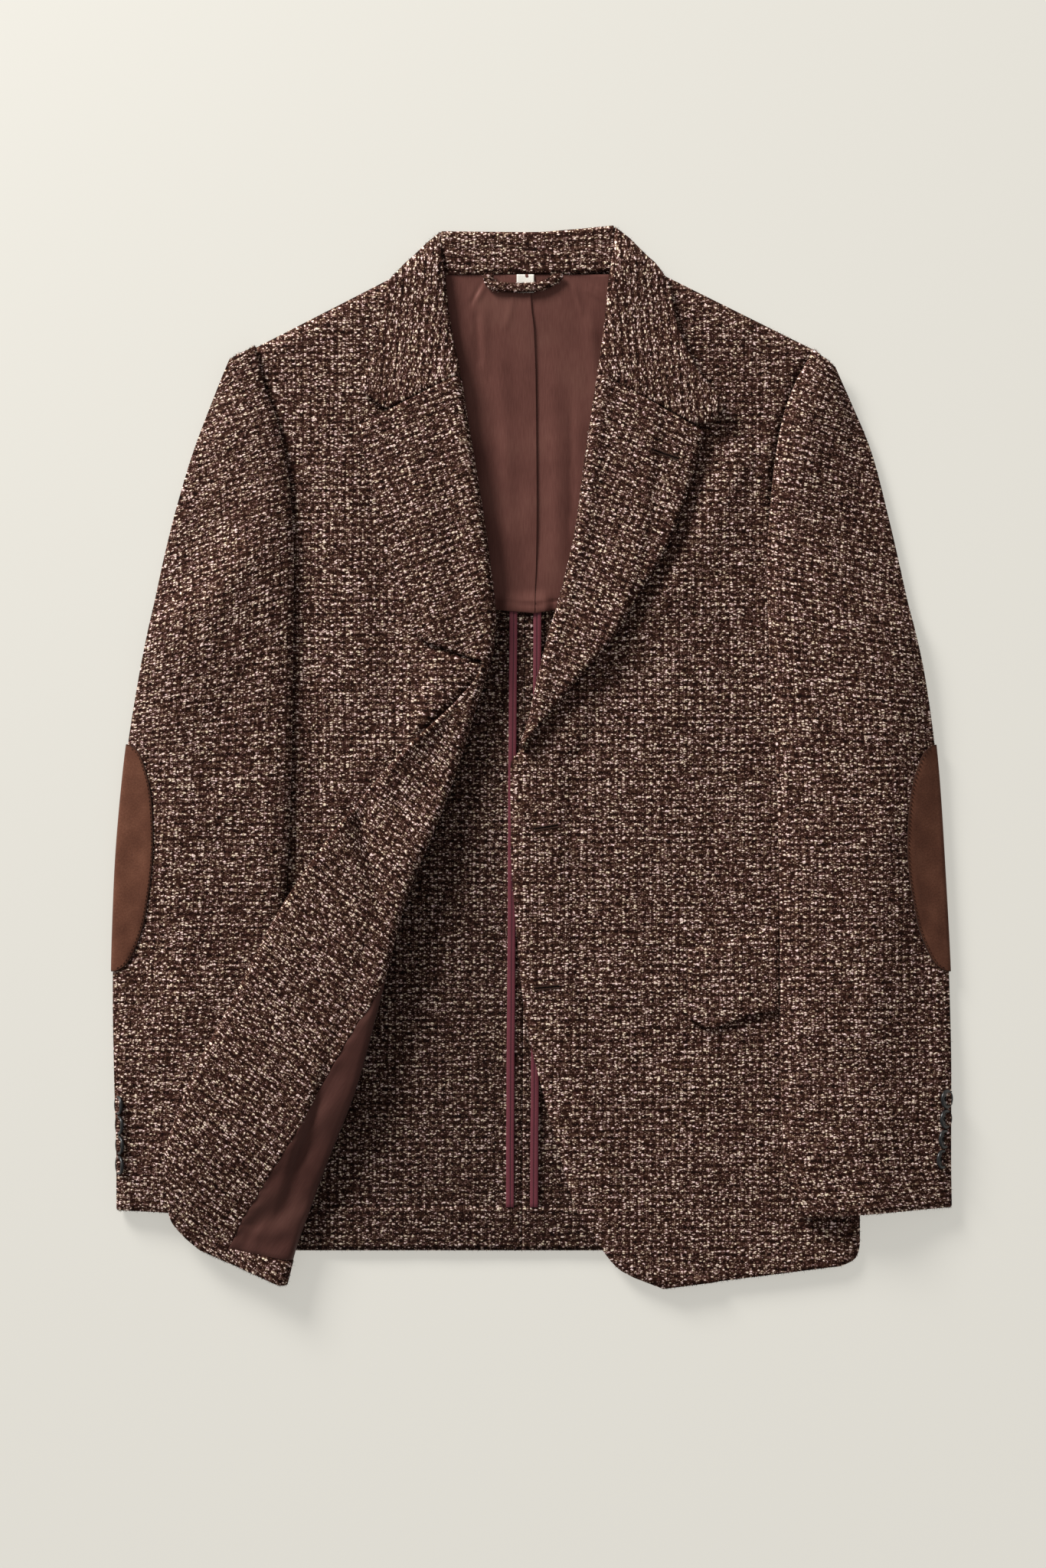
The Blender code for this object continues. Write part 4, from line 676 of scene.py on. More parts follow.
def turned_part(hand, rows, stations, facing):
    """The arc of the roll and the turned leg of a front, or of the facing round it, as grid columns."""
    roll_x, roll_y, edge_x, edge_y, lift, tuck = read(
        rows, stations, "roll_x", "roll_y", "edge_x", "edge_y", "lift", "tuck")
    lift = lift * LIFT[hand]
    radius = ROLL_FACING if facing else ROLL_FRONT
    span = np.abs(edge_x - roll_x)
    centre_x = roll_x + hand * ROLL
    partly = span < ROLL + STUB
    angle = np.where(partly, np.pi - np.arcsin(np.clip(1.0 - span / (ROLL + STUB), 0, 1)), np.pi)
    near = chest(centre_x, roll_y)
    columns = []
    for share in ARC:
        at = angle * share
        columns.append(np.stack([centre_x - hand * radius * np.sin(at), roll_y,
                                 ROLL_CENTRE - radius * np.cos(at) + near], axis=-1))
    ahead = np.stack([-hand * np.cos(angle), np.zeros_like(angle), np.sin(angle)], axis=-1)
    end = columns[-1]
    length = np.hypot(edge_x - centre_x, edge_y - roll_y)
    inset = 0.0 if facing else np.minimum(2.4, length * 0.3)
    for share in np.linspace(0.0, 1.0, LEG + 1)[1:]:
        reach = (length - inset) * share
        x = centre_x + (edge_x - centre_x) * reach / length
        y = roll_y + (edge_y - roll_y) * reach / length
        base = front_height(reach - 8.0, tuck) + FRONT_WALL / 2 + chest(x, y)
        if hand < 0:
            over_side = ease((x + 272.0) / 20.0)
            base = np.where(y < 60.0, np.maximum(base * over_side, sleeve_top(hand, x, y)), base)
        rise = share ** 2 if hand < 0 else share * (1.0 - 0.25 * ease((share - 0.85) / 0.15))
        rest = base + LAID + FRONT_WALL / 2 + lift * rise + 1.2 * np.sin(np.pi * share) * ease(length / 60)
        rest = rest + (0.5 + 0.5 * noise(x, y, 58.0, 7)) * ease(reach / 30.0) * ease(length / 50)
        high = ROLL_CENTRE + ROLL_FRONT + near
        slack = FLAP_SLACK * (hand < 0) * ease((40.0 - y) / 60.0) * (1.0 - ease((-190.0 - y) / 80.0))
        height = rest + (high - rest) * (1.0 - ease(reach / (SETTLE[hand] + slack))) * (high > rest)
        if facing:
            tip = np.clip((reach - length + TIP_WIDTH) / TIP_WIDTH, 0, 1) * ease(length / 14.0)
            drop = TIP_DROP * (1.0 - np.sqrt(1.0 - 0.9 * tip ** 2))
            height = height + NEST + 0.5 * np.clip(reach / 5.0, 0, 1) - drop
        laid = np.stack([x, y, height], axis=-1)
        stub = end + ahead * STUB * share
        columns.append(np.where(partly[:, None], stub, laid))
    return columns


BREAK = {-1: (-33.0, 62.0), 1: (4.0, 60.0)}  # where each lapel's roll ends
# The front's bare corner between the right lapel's lower edge and the flap, outward from the break, and how
# high it is filled.
CORNER_FILL = 5.3
BREAK_CORNER = table("away top bottom", [(1.0, 69.8, 69.2), (24.7, 79.8, 41.5), (52.5, 91.3, 15.5),
                                         (65.3, 126.1, 3.3), (78.0, 173.7, -11.5)])


def beside_break(hand, x, y):
    """The chest fills that corner, so the two edges run into each other at the break."""
    if hand > 0:
        return np.zeros(np.broadcast(x, y).shape)
    away = BREAK[-1][0] - x
    top, bottom = (np.interp(away, BREAK_CORNER["away"], BREAK_CORNER[end]) for end in ("top", "bottom"))
    across = np.abs(y - (top + bottom) / 2) / np.maximum((top - bottom) / 2, 1.0)
    fill = CORNER_FILL * ease(away / 6.0) * (1.0 - ease((away - 26.0) / 48.0))
    return fill * (1.0 - ease((across - 0.74) / 0.22))


SHOULDER_DROP = 2.4  # how far the left front comes down under the sleeve's top


def lower_columns(side_x, side_y, end_x, end_y, tuck, top_curl, turned, count):
    """The part of a front that lies on the back, from its side to its roll, neck or front edge."""
    length = np.hypot(end_x - side_x, end_y - side_y)
    foot = FRONT_WALL / 2
    turned_over = ease((side_y - 320.0) / 40.0)
    fixed = [0.0, 0.4, 1.0, 2.0, 3.2, 4.6, 6.2, SIDE_CURL]
    reaches = [np.full_like(length, foot + step) for step in fixed]
    flat = length - foot - SIDE_CURL
    reaches += [foot + SIDE_CURL + flat * share for share in np.linspace(0, 1, count)[1:]]
    columns = []
    for reach in reaches:
        share = reach / length
        x = side_x + (end_x - side_x) * share
        y = side_y + (end_y - side_y) * share
        full = FRONT_LEVEL + (front_height(length - reach, tuck) - FRONT_LEVEL) * turned + chest(x, y)
        full = full + beside_break(math.copysign(1.0, side_x[0]), x, y)
        if side_x[0] > 0:
            drop = SHOULDER_DROP * ease((x - 130.0) / 55.0) * ease((y - 215.0) / 50.0)
            full = full - drop * (1.0 - turned_over)
        curl = quarter((reach - foot) / SIDE_CURL) * top_curl
        columns.append(np.stack([x, y, EDGE_FOOT + (full - EDGE_FOOT) * curl], axis=-1))
    return columns


LAPEL_GRAIN, FLAP_GRAIN = {-1: 17.0, 1: -22.0}, {-1: -35.0, 1: -12.0}  # lean of the weave, in degrees


def leg_weave(grid, first, rows, stations, hand):
    """Weave coordinates of the columns from first on: round the roll, then along the turned leg. The
    lapel's grain follows its edge, and below the break the flap's does."""
    roll_x, roll_y, edge_x, edge_y = read(rows, stations, "roll_x", "roll_y", "edge_x", "edge_y")
    ahead = np.stack([edge_x - roll_x, edge_y - roll_y], axis=-1)
    ahead /= np.linalg.norm(ahead, axis=1, keepdims=True)
    lengths = arc_lengths(grid, 1)
    laid = min(first + len(ARC), grid.shape[1] - 1)
    onward = (lengths - lengths[:, laid: laid + 1])[:, first:, None]
    place = grid[:, laid, None, :2] + ahead[:, None] * onward
    flap = ease((BREAK[hand][1] + 36.0 - place[..., 1]) / 78.0)
    return grain(place, LAPEL_GRAIN[hand] + (FLAP_GRAIN[hand] - LAPEL_GRAIN[hand]) * flap, BREAK[hand])


def edge_drop(from_edge):
    """How far the left front and its facing round down at their edge below the lapel."""
    return 1.6 * (1.0 - quarter(from_edge / 7.0)) * (from_edge < 7.0)


def front(hand, side, finish):
    """A front with its lapel, from shoulder to hem, as one sheet."""
    neck = RIGHT_NECK if hand < 0 else LEFT_NECK
    body = RIGHT_FRONT if hand < 0 else LEFT_FRONT
    edge = None if hand < 0 else LEFT_EDGE
    whole = joined(neck, body, edge)
    first_turned = len(neck["side_x"])
    last_turned = first_turned + len(body["side_x"]) - 1
    middle_y = (whole["side_y"] + whole["end_y"]) / 2
    stations = dense(middle_y)
    side_x, side_y, end_x, end_y = read(whole, stations, "side_x", "side_y", "end_x", "end_y")
    turned = (stations >= first_turned) & (stations <= last_turned)
    past = stations > last_turned
    lower = np.clip(stations - first_turned, 0.0, len(body["side_x"]) - 1.0)
    tuck = np.where(past, FACING_TUCK, smooth(body["tuck"], lower))
    curl = quarter(0.02 + stations / 0.55)
    over_facing = ease(stations - (first_turned - 1))
    low = lower_columns(side_x, side_y, end_x, end_y, tuck, curl, over_facing, LYING)
    high = turned_part(hand, body, lower, facing=False)
    grid = np.stack(low + high, axis=1)
    grid[~turned, len(low):] = grid[~turned, len(low) - 1][:, None]
    if hand > 0:
        from_edge = np.linalg.norm(grid[..., :2] - grid[:, len(low) - 1: len(low), :2], axis=2)
        grid[..., 2] -= edge_drop(from_edge) * past[:, None]
    keep = np.ones((grid.shape[0] - 1, grid.shape[1] - 1), bool)
    keep[:, len(low) - 1:] = (turned[:-1] & turned[1:])[:, None]
    weave = grid[..., :2].copy()
    weave[:, len(low):] = leg_weave(grid, len(low) - 1, body, lower, hand)[:, 1:]
    return sheet(f"front_{side}", grid, FRONT_WALL, finish, weave, keep)


def tucked(hand, rows, stations, distances):
    """The part of a facing or lining hidden behind the front, next to the roll."""
    side_x, side_y, roll_x, roll_y, tuck = read(
        rows, stations, "side_x", "side_y", "roll_x", "roll_y", "tuck")
    start_x = roll_x + hand * ROLL
    length = np.hypot(side_x - start_x, side_y - roll_y)
    columns = []
    for share in distances:
        reach = tuck * share
        x = start_x + (side_x - start_x) * reach / length
        y = roll_y + (side_y - roll_y) * reach / length
        height = front_height(reach, tuck) + chest(x, y) - NEST - 0.25 * np.clip(reach / 10.0, 0, 1)
        columns.append(np.stack([x, y, height], axis=-1))
    return columns


def facing(hand, side, finish):
    """The lapel's face, and below the break the facing of that front."""
    rows = RIGHT_FRONT if hand < 0 else LEFT_FRONT
    stations = dense(rows["roll_y"])
    if hand < 0:
        stations = np.unique(np.append(stations, LINING_TOP_STATION))
    hidden = tucked(hand, rows, stations, HIDDEN)
    turned = turned_part(hand, rows, stations, facing=True)
    grid = np.stack(hidden + turned, axis=1)
    fold = len(hidden) - 1
    weave = np.concatenate([grid[:, :fold, :2], leg_weave(grid, fold, rows, stations, hand)], axis=1)
    keep = np.ones((grid.shape[0] - 1, grid.shape[1] - 1), bool)
    if hand < 0:
        # Past the lining's top, the facing starts at its inner edge instead of behind the front.
        below = stations >= LINING_TOP_STATION
        lengths = arc_lengths(grid, 1)
        inner = inner_reach(stations, lengths, fold)
        first = fold + np.argmin(np.abs(lengths[below][0, fold:] - lengths[below][0, fold] - inner[below][0]))
        top = lengths[below][0]
        shares = (top[first:] - top[first]) / (top[-1] - top[first])
        begin = (lengths[:, fold] + inner)[below, None]
        wanted = begin + (lengths[below, -1:] - begin) * shares
        weave[below, first:] = resampled(weave[below], lengths[below], wanted)
        grid[below, first:] = resampled(grid[below], lengths[below], wanted)
        keep[below[:-1], :first] = False
    else:
        plain = dense(LEFT_EDGE["edge_y"])
        side_x, side_y, edge_x, edge_y = read(LEFT_EDGE, plain, "side_x", "side_y", "edge_x", "edge_y")
        length = np.hypot(side_x - edge_x, side_y - edge_y)
        strip = []
        for reach in FACING_TUCK * HIDDEN + 0.6:
            x = edge_x + (side_x - edge_x) * reach / length
            y = edge_y + (side_y - edge_y) * reach / length
            height = FRONT_OVER_FACING - NEST - 0.15 + relief(x, y) - edge_drop(reach)
            strip.append(np.stack([x, y, height], axis=-1))
        below = np.stack(strip + [strip[-1]] * len(turned), axis=1)
        keep = np.concatenate([keep, np.ones((len(plain), keep.shape[1]), bool)])
        keep[len(stations) - 1:, len(hidden) - 1:] = False
        grid = np.concatenate([grid, below])
        weave = np.concatenate([weave, below[..., :2]])
    return sheet(f"facing_{side}", grid, FACING_WALL, finish, weave, keep)


def beside_facing(name, stations, thickness, finish):
    """The lining or hem of the opened front, from beside the facing, over the fold and behind it."""
    hidden = tucked(-1, RIGHT_FRONT, stations, HIDDEN)
    grid = np.stack(hidden + turned_part(-1, RIGHT_FRONT, stations, facing=True), axis=1)
    fold = len(hidden) - 1
    weave = np.concatenate([grid[:, :fold, :2], leg_weave(grid, fold, RIGHT_FRONT, stations, -1)], axis=1)
    lengths = arc_lengths(grid, 1)
    inner = inner_reach(stations, lengths, fold) - 0.8
    shares = np.linspace(0.0, 1.0, 34)
    shown = [resampled(layer, lengths, lengths[:, fold: fold + 1] + inner[:, None] * shares)
             for layer in (grid, weave)]
    if thickness < FACING_WALL:
        shown[0][..., 2] += puckers(stations, inner[:, None] * (1.0 - shares))
    return sheet(name, np.concatenate([grid[:, :fold], shown[0]], axis=1), thickness, finish,
                 np.concatenate([weave[:, :fold], shown[1]], axis=1))


def resampled(layer, lengths, wanted):
    """Each row of a layer of grid points, read at the wanted distances along it."""
    return np.stack([np.stack([np.interp(want, length, line) for line in row.T], axis=-1)
                     for want, length, row in zip(wanted, lengths, layer)])


def inner_reach(stations, lengths, fold):
    """How far past the fold, along the cloth, the facing's inner edge is. It starts at the side of the
    roll and from there moves out over the turned leg."""
    start = lengths[:, fold]
    arc = lengths[:, fold + len(ARC)] - start
    leg = (lengths[:, -1] - start - arc) * facing_share(stations)
    over = ease((stations - LINING_TOP_STATION) / (LINING_LEG_STATION - LINING_TOP_STATION))
    return arc * (0.42 + 0.58 * over) + leg * over + 0.8


def puckers(stations, from_edge):
    """Small pleats where the lining is sewn to the facing, and softer folds across it."""
    along = stations[:, None] * 46.0
    small = np.sin(along / 1.9 + 1.3 * np.sin(along / 7.0)) * np.exp(-(from_edge / 8.0) ** 2) * 0.35
    wide = np.sin(along / 9.0 + from_edge / 9.0) * ease(from_edge / 6.0) * 0.5
    return small + wide + 0.35 * noise(along, from_edge * 1.5, 24.0, 51)


# ---------------------------------------------------------------- back, lining, neck


def neck_rise(x, y):
    """How far the back rises at the neck."""
    return NECK_RISE * ease((y - 336.0) / 14.0) * (1.0 - ease((np.abs(x) - 74.0) / 9.0))


def back_half(hand, side, finish):
    """Half the back, its seam allowance pressed open and its hem turned up."""
    stations = dense(BACK_ROWS["centre_y"], 5.0)
    centre_y = np.interp(stations, np.arange(len(BACK_ROWS["centre_y"])), BACK_ROWS["centre_y"])
    centre_y = np.sort(np.concatenate([centre_y, [HEM_TURN_Y, HEM_TURN_Y + 0.8, ALLOWANCE_Y]]))[::-1]
    side_y = np.interp(centre_y, BACK_ROWS["centre_y"][::-1], BACK_ROWS["side_y"][::-1])
    side_x = by_height(inset_side(hand, FRONT_WALL + 5.4), side_y)
    seam_x = by_height(CENTRE_SEAM, centre_y)
    far = side_x - hand * seam_x
    past_seam = SEAM_ALLOWANCE + 0.4
    out = [np.full_like(far, step) for step in (GAP / 2, 3.0, 6.0, 9.0, SEAM_ALLOWANCE - 0.4, past_seam)]
    out += [past_seam + (far - SEAM_ALLOWANCE - 0.4) * share for share in np.linspace(0, 1, 46)[1:]]
    reach = np.stack(out, axis=1)
    x = seam_x[:, None] + hand * reach
    fall = np.clip((reach - 85.0) / (far[:, None] - 85.0), 0.0, 1.0)
    y = centre_y[:, None] + (side_y - centre_y)[:, None] * fall
    bottom = neck_rise(x, y)
    allowance = (reach < SEAM_ALLOWANCE) & (centre_y[:, None] <= ALLOWANCE_Y)
    hem = centre_y[:, None] <= HEM_TURN_Y
    soft = 0.25 * noise(x, y, 45.0, 21) + 0.1 * noise(x, y, 18.0, 22)
    plain = np.where(hem, HEM_TOP - 0.4, np.where(allowance, ALLOWANCE_TOP, BACK_WALL - 0.3))
    thick = plain + soft * (reach > 14)
    grid = np.stack([x, y, bottom + thick / 2], axis=-1)
    return slab(f"back_{side}", grid, thick, finish)


def slab(name, middle, thick, finish):
    """A flat sheet whose thickness, straight up, is given at each point."""
    low = middle.copy()
    low[..., 2] -= thick / 2
    made = sheet(name, low + (0.0, 0.0, 0.5), 1.0, finish, middle[..., :2])
    mesh = made.data
    # The upper wall rises to the stated thickness; the lower one stays.
    count = middle.shape[0] * middle.shape[1]
    flat_low = (low.reshape(-1, 3) - (*MIDDLE, 0.0)) * MM
    points = vertex_places(mesh)
    tree = KDTree(count)
    for index, corner in enumerate(flat_low):
        tree.insert(Vector((corner[0], corner[1], 0.0)), index)
    tree.balance()
    height = thick.reshape(-1) * MM
    for index, point in enumerate(points):
        found = tree.find(Vector((point[0], point[1], 0.0)))[1]
        above = (point[2] - flat_low[found][2]) / MM
        points[index, 2] = flat_low[found][2] + height[found] * min(max(above, 0.0), 1.0)
    mesh.vertices.foreach_set("co", points.ravel())
    mesh.update()
    return made


def lining_floor(x, y):
    """What the back lining lies on: the back, its rise at the neck, and lower down its bound seam."""
    from_seam = np.abs(x - by_height(CENTRE_SEAM, y))
    off_neck = NECK_RISE * ease((y - 286.0) / 64.0) * (1.0 - ease((np.abs(x) - 74.0) / 9.0))
    over_binding = ease((128.0 - y) / 14.0) * (1.0 - ease((from_seam - 14.0) / 8.0))
    return BACK_WALL + GAP + np.maximum(neck_rise(x, y), off_neck) + 2.7 * over_binding


def back_lining(hand, side, finish):
    """Half the upper back lining, with the soft folds that hang from the neck."""
    stations = dense(BACK_LINING["seam_y"], 2.0)
    key = "right" if hand < 0 else "left"
    seam_x, seam_y, outer_x, outer_y = read(BACK_LINING, stations, "seam_x", "seam_y", key + "_x", key + "_y")
    shares = np.linspace(0.0, 1.0, 64) ** 1.3
    start = seam_x[:, None] + hand * GAP / 2
    x = start + (outer_x[:, None] - start) * shares
    y = seam_y[:, None] + (outer_y - seam_y)[:, None] * shares
    folds = creased(LINING_CREASES, x, y) + 0.35 * noise(x, y, 30.0, 31)
    loose = ease((364.0 - y) / 12.0) * (0.25 + 0.75 * ease((y - 118.0) / 40.0))
    from_seam = np.abs(x - start)
    # The right half ends in a fold that lies over the left half.
    seam = 1.7 * np.exp(-(from_seam / 16.0) ** 2) if hand < 0 else -1.3 * np.exp(-(from_seam / 7.0) ** 2)
    seam = seam * (0.35 + 0.65 * ease((y - 112.0) / 60.0))
    from_hem = y - np.broadcast_to(y[-1:], y.shape)
    seam = seam - 1.5 * np.exp(-((from_hem - 6.5) / 0.8) ** 2)
    covered = 1.0 - ease((np.abs(x) - 46.0) / 14.0) * 0.7
    middle = lining_floor(x, y) + LINING_WALL / 2 + np.maximum(folds, -0.5) * loose * covered + seam * 0.5
    grid = np.stack([x, y, middle], axis=-1)
    return sheet(f"back_lining_{side}", grid, LINING_WALL * 0.8, finish, grid[..., :2])


def seam_binding(hand, side, finish):
    """The bias tape on one edge of the centre seam."""
    y = np.linspace(113.0, HEM_TURN_Y + 0.8, 150)
    seam = by_height(CENTRE_SEAM, y)
    sway = 0.25 * np.sin(y / 37.0 + hand) + 0.12 * np.sin(y / 11.0)
    shares = np.linspace(0, 1, 9)
    edge = SEAM_ALLOWANCE - 0.1
    x = seam[:, None] + hand * (edge - BINDING_WIDTH * shares) + sway[:, None] * 0.4
    crown = 0.35 * np.sin(np.pi * shares) - 0.4 * np.exp(-((shares - 0.55) / 0.07) ** 2)
    z = ALLOWANCE_TOP + GAP + 0.55 + crown + 0.1 * np.sin(y / 5.0)[:, None]
    grid = np.stack([x, np.broadcast_to(y[:, None], x.shape), z], axis=-1)
    weave = np.stack([np.broadcast_to(shares * BINDING_WIDTH, x.shape), grid[..., 1]], axis=-1)
    return sheet(f"seam_binding_{side}", grid, 0.8, finish, weave)


def collar_stand(finish):
    """The collar's stand inside the back neck, from the neck seam to the stand seam."""
    rows = np.linspace(0, 4, 56)
    x, seam, stand = read(NECK_BAND, rows, "x", "seam_y", "stand_y")
    shares = np.linspace(0, 1, 9)
    y = (seam + GAP)[:, None] + (stand - seam - 2 * GAP)[:, None] * shares
    x = np.broadcast_to(x[:, None], y.shape)
    z = 5.6 + BACK_WALL / 2 + 0.2 * noise(x, y, 25.0, 41) - 0.5 * (1.0 - ease(shares * 6.0))
    grid = np.stack([x, y, z], axis=-1)
    return sheet("collar_stand", grid, BACK_WALL, finish, grid[..., :2])


def collar_back(finish):
    """The collar at the back neck: from the stand seam over the fold, and its fall underneath."""
    top, low = 6.8, COLLAR_BACK_WALL / 2
    radius = (top - low) / 2
    x, stand, fold = read(NECK_BAND, np.linspace(0, 4, 56), "x", "stand_y", "fold_y")
    centre_y = fold - COLLAR_BACK_WALL / 2 - radius
    columns = [(x, stand + (centre_y - stand) * share, np.full_like(x, top)) for share in (0.0, 0.35, 0.7)]
    for degrees in np.linspace(0, 180, 13):
        angle = math.radians(degrees)
        height = low + radius + radius * math.cos(angle)
        columns.append((x, centre_y + radius * math.sin(angle), np.full_like(x, height)))
    for share in np.linspace(0, 1, 10)[1:]:
        columns.append((x, centre_y + (FALL_Y - centre_y) * share, np.full_like(x, low)))
    grid = np.stack([np.stack(column, axis=-1) for column in columns], axis=1)
    weave = np.stack([grid[..., 0], arc_lengths(grid, 1) + 385.0], axis=-1)
    return sheet("collar_back", grid, COLLAR_BACK_WALL, finish, weave)


BENDS = (-90, -70, -45, -22, 0, 15, 30, 45, 60, 75, 90)  # columns round a collar leaf's fold, up to its top


def collar_leaf(hand, side, finish):
    """One side of the collar, lying over the shoulder and front down to the notch."""
    rows = RIGHT_COLLAR if hand < 0 else LEFT_COLLAR
    dip = RIGHT_COLLAR_DIP if hand < 0 else LEFT_COLLAR_DIP
    stations = dense(rows["roll_y"], 2.8)
    roll_x, roll_y, edge_x, edge_y, base, edge_z = read(
        rows, stations, "roll_x", "roll_y", "edge_x", "edge_y", "base", "edge_z")
    width = np.hypot(edge_x - roll_x, edge_y - roll_y)
    fit = np.clip(width / 26.0, 0.5, 1.0)
    half = COLLAR_WALL / 2
    widest, top = 3.4, 7.4 - half
    columns = []
    for degrees in BENDS:
        angle = math.radians(degrees)
        bend = 4.0 if degrees < 0 else 7.0
        reach = half + bend * fit * (1.0 - math.cos(angle))
        rise = (widest - half) if degrees < 0 else (top - widest)
        columns.append((reach, base + widest + rise * math.sin(angle)))
    start = half + 7.0 * fit
    for share in np.linspace(0, 1, 24)[1:]:
        reach = start + (width - start - 0.2) * share
        high = base + top
        shape = np.where(edge_z < 9.0, quarter(1.0 - share), 1.0 - ease(share))
        columns.append((reach, edge_z + (high - edge_z) * shape))
    low = ease((stations - 4.3) / 1.7) ** 2
    grid = []
    for reach, height in columns:
        share = reach / width
        drop = low * np.interp(share, dip["share"], dip["dip"])
        x = roll_x + (edge_x - roll_x) * share
        y = roll_y + (edge_y - roll_y) * share - drop
        grid.append(np.stack([x, y, height + relief(x, y) * 0.6], axis=-1))
    grid = np.stack(grid, axis=1)
    # The band's grain turns with it round the neck, so here its rows run down the leaf.
    lengths = arc_lengths(grid, 1)
    crest = len(BENDS) - 1
    top_line = grid[:, crest: crest + 1, :2]
    ahead = grid[:, -1, :2] - grid[:, crest, :2]
    ahead /= np.linalg.norm(ahead, axis=1, keepdims=True)
    place = grid[..., :2].copy()
    before_top = lengths[:, :crest] - lengths[:, crest: crest + 1]
    place[:, :crest] = top_line + ahead[:, None] * before_top[..., None]
    weave = grain(place, 90.0 + 5.0 * hand) + 400.0 * hand
    return sheet(f"collar_leaf_{side}", grid, COLLAR_WALL, finish, weave)


def hanger_loop(finish):
    """The folded strip of cloth sewn into the neck seam to hang the coat by."""
    stations = np.linspace(0, len(HANGER_PATH["x"]) - 1.0, 60)
    path = np.stack(read(HANGER_PATH, stations, "x", "y"), axis=1)
    ahead = np.gradient(path, axis=0)
    ahead /= np.linalg.norm(ahead, axis=1, keepdims=True)
    aside = np.stack([-ahead[:, 1], ahead[:, 0]], axis=1)
    height = 6.2 + GAP + LABEL_WALL + GAP + LOOP_WALL / 2
    grid = []
    for share in np.linspace(-1, 1, 7):
        spot = path + aside * share * (HANGER_WIDTH / 2 - 0.6)
        grid.append(np.column_stack([spot, np.full(len(path), height + 0.9 * (1.0 - share ** 2))]))
    grid = np.stack(grid, axis=1)
    grid[..., 1] = np.minimum(grid[..., 1], 365.0)
    weave = grid[..., :2] * 1.15
    return sheet("hanger_loop", grid, 1.9, finish, weave)


def size_label(finish):
    """The small white label under the hanger loop."""
    low_x, high_x, low_y, high_y = LABEL_BOX
    x, y = np.meshgrid(np.linspace(low_x, high_x, 14), np.linspace(low_y, high_y, 14))
    z = lining_floor(x, y) + LINING_WALL + GAP + 0.3 + 0.15 * np.sin(x / 3.0)
    grid = np.stack([x, y, z], axis=-1)
    return sheet("size_label", grid, 0.5, finish, grid[..., :2])


def pocket_flap(finish):
    """The flap of the left hip pocket, up to where the sleeve covers it."""
    x, top, bottom = read(POCKET_FLAP, np.linspace(0, 4, 30), "x", "top_y", "bottom_y")
    shares = np.linspace(0, 1, 22)
    y = top[:, None] + (bottom - top)[:, None] * shares
    x = np.broadcast_to(x[:, None], y.shape)
    z = FRONT_LEVEL + FRONT_WALL / 2 + GAP + FLAP_WALL / 2 + chest(x, y) - 0.7 * (1.0 - ease(shares * 7.0))
    grid = np.stack([x, y, z + 1.1 * shares ** 2], axis=-1)
    return sheet("pocket_flap_left", grid, FLAP_WALL, finish, grid[..., :2] + (2.0, 1.3))


def elbow_patch(hand, side, finish):
    """The suede patch over the elbow: the sleeve's own points, moved out."""
    rows = SLEEVES[hand]
    order = np.linspace(0, len(PATCH["y"]) - 1.0, 90)
    y, reach_in = read(PATCH, order, "y", "reach")
    stations = sleeve_station(hand, y)
    across = [smooth(rows["outer_" + axis] - rows["inner_" + axis], stations) for axis in "xy"]
    flat = np.hypot(*across) - SLEEVE_WALL - CURL_IN - CURL_OUT
    reach = reach_in - SLEEVE_WALL / 2
    on_fold = 4.0 - np.arccos(np.clip(1.0 - reach / CURL_OUT, 0, 1)) / (math.pi / 2)
    edge = np.where(reach < CURL_OUT, on_fold, 3.0 - (reach - CURL_OUT) / flat)
    low = 4.1 + 0.25 * ease(reach_in / 16.0)
    out = SLEEVE_WALL / 2 + GAP + PATCH_WALL / 2
    step = 0.02
    columns = []
    for share in np.linspace(0.0, 1.0, 26):
        place = edge + (low - edge) * share
        along = sleeve_point(hand, stations + step, place) - sleeve_point(hand, stations - step, place)
        around = sleeve_point(hand, stations, place + step) - sleeve_point(hand, stations, place - step)
        facing_out = np.cross(along, around) * hand
        facing_out /= np.linalg.norm(facing_out, axis=1, keepdims=True)
        columns.append(sleeve_point(hand, stations, place) + facing_out * out)
    grid = np.stack(columns, axis=1)
    weave = np.stack([arc_lengths(grid, 1), grid[..., 1]], axis=-1)
    return sheet(f"elbow_patch_{side}", grid, PATCH_WALL, finish, weave)


# ---------------------------------------------------------------- materials


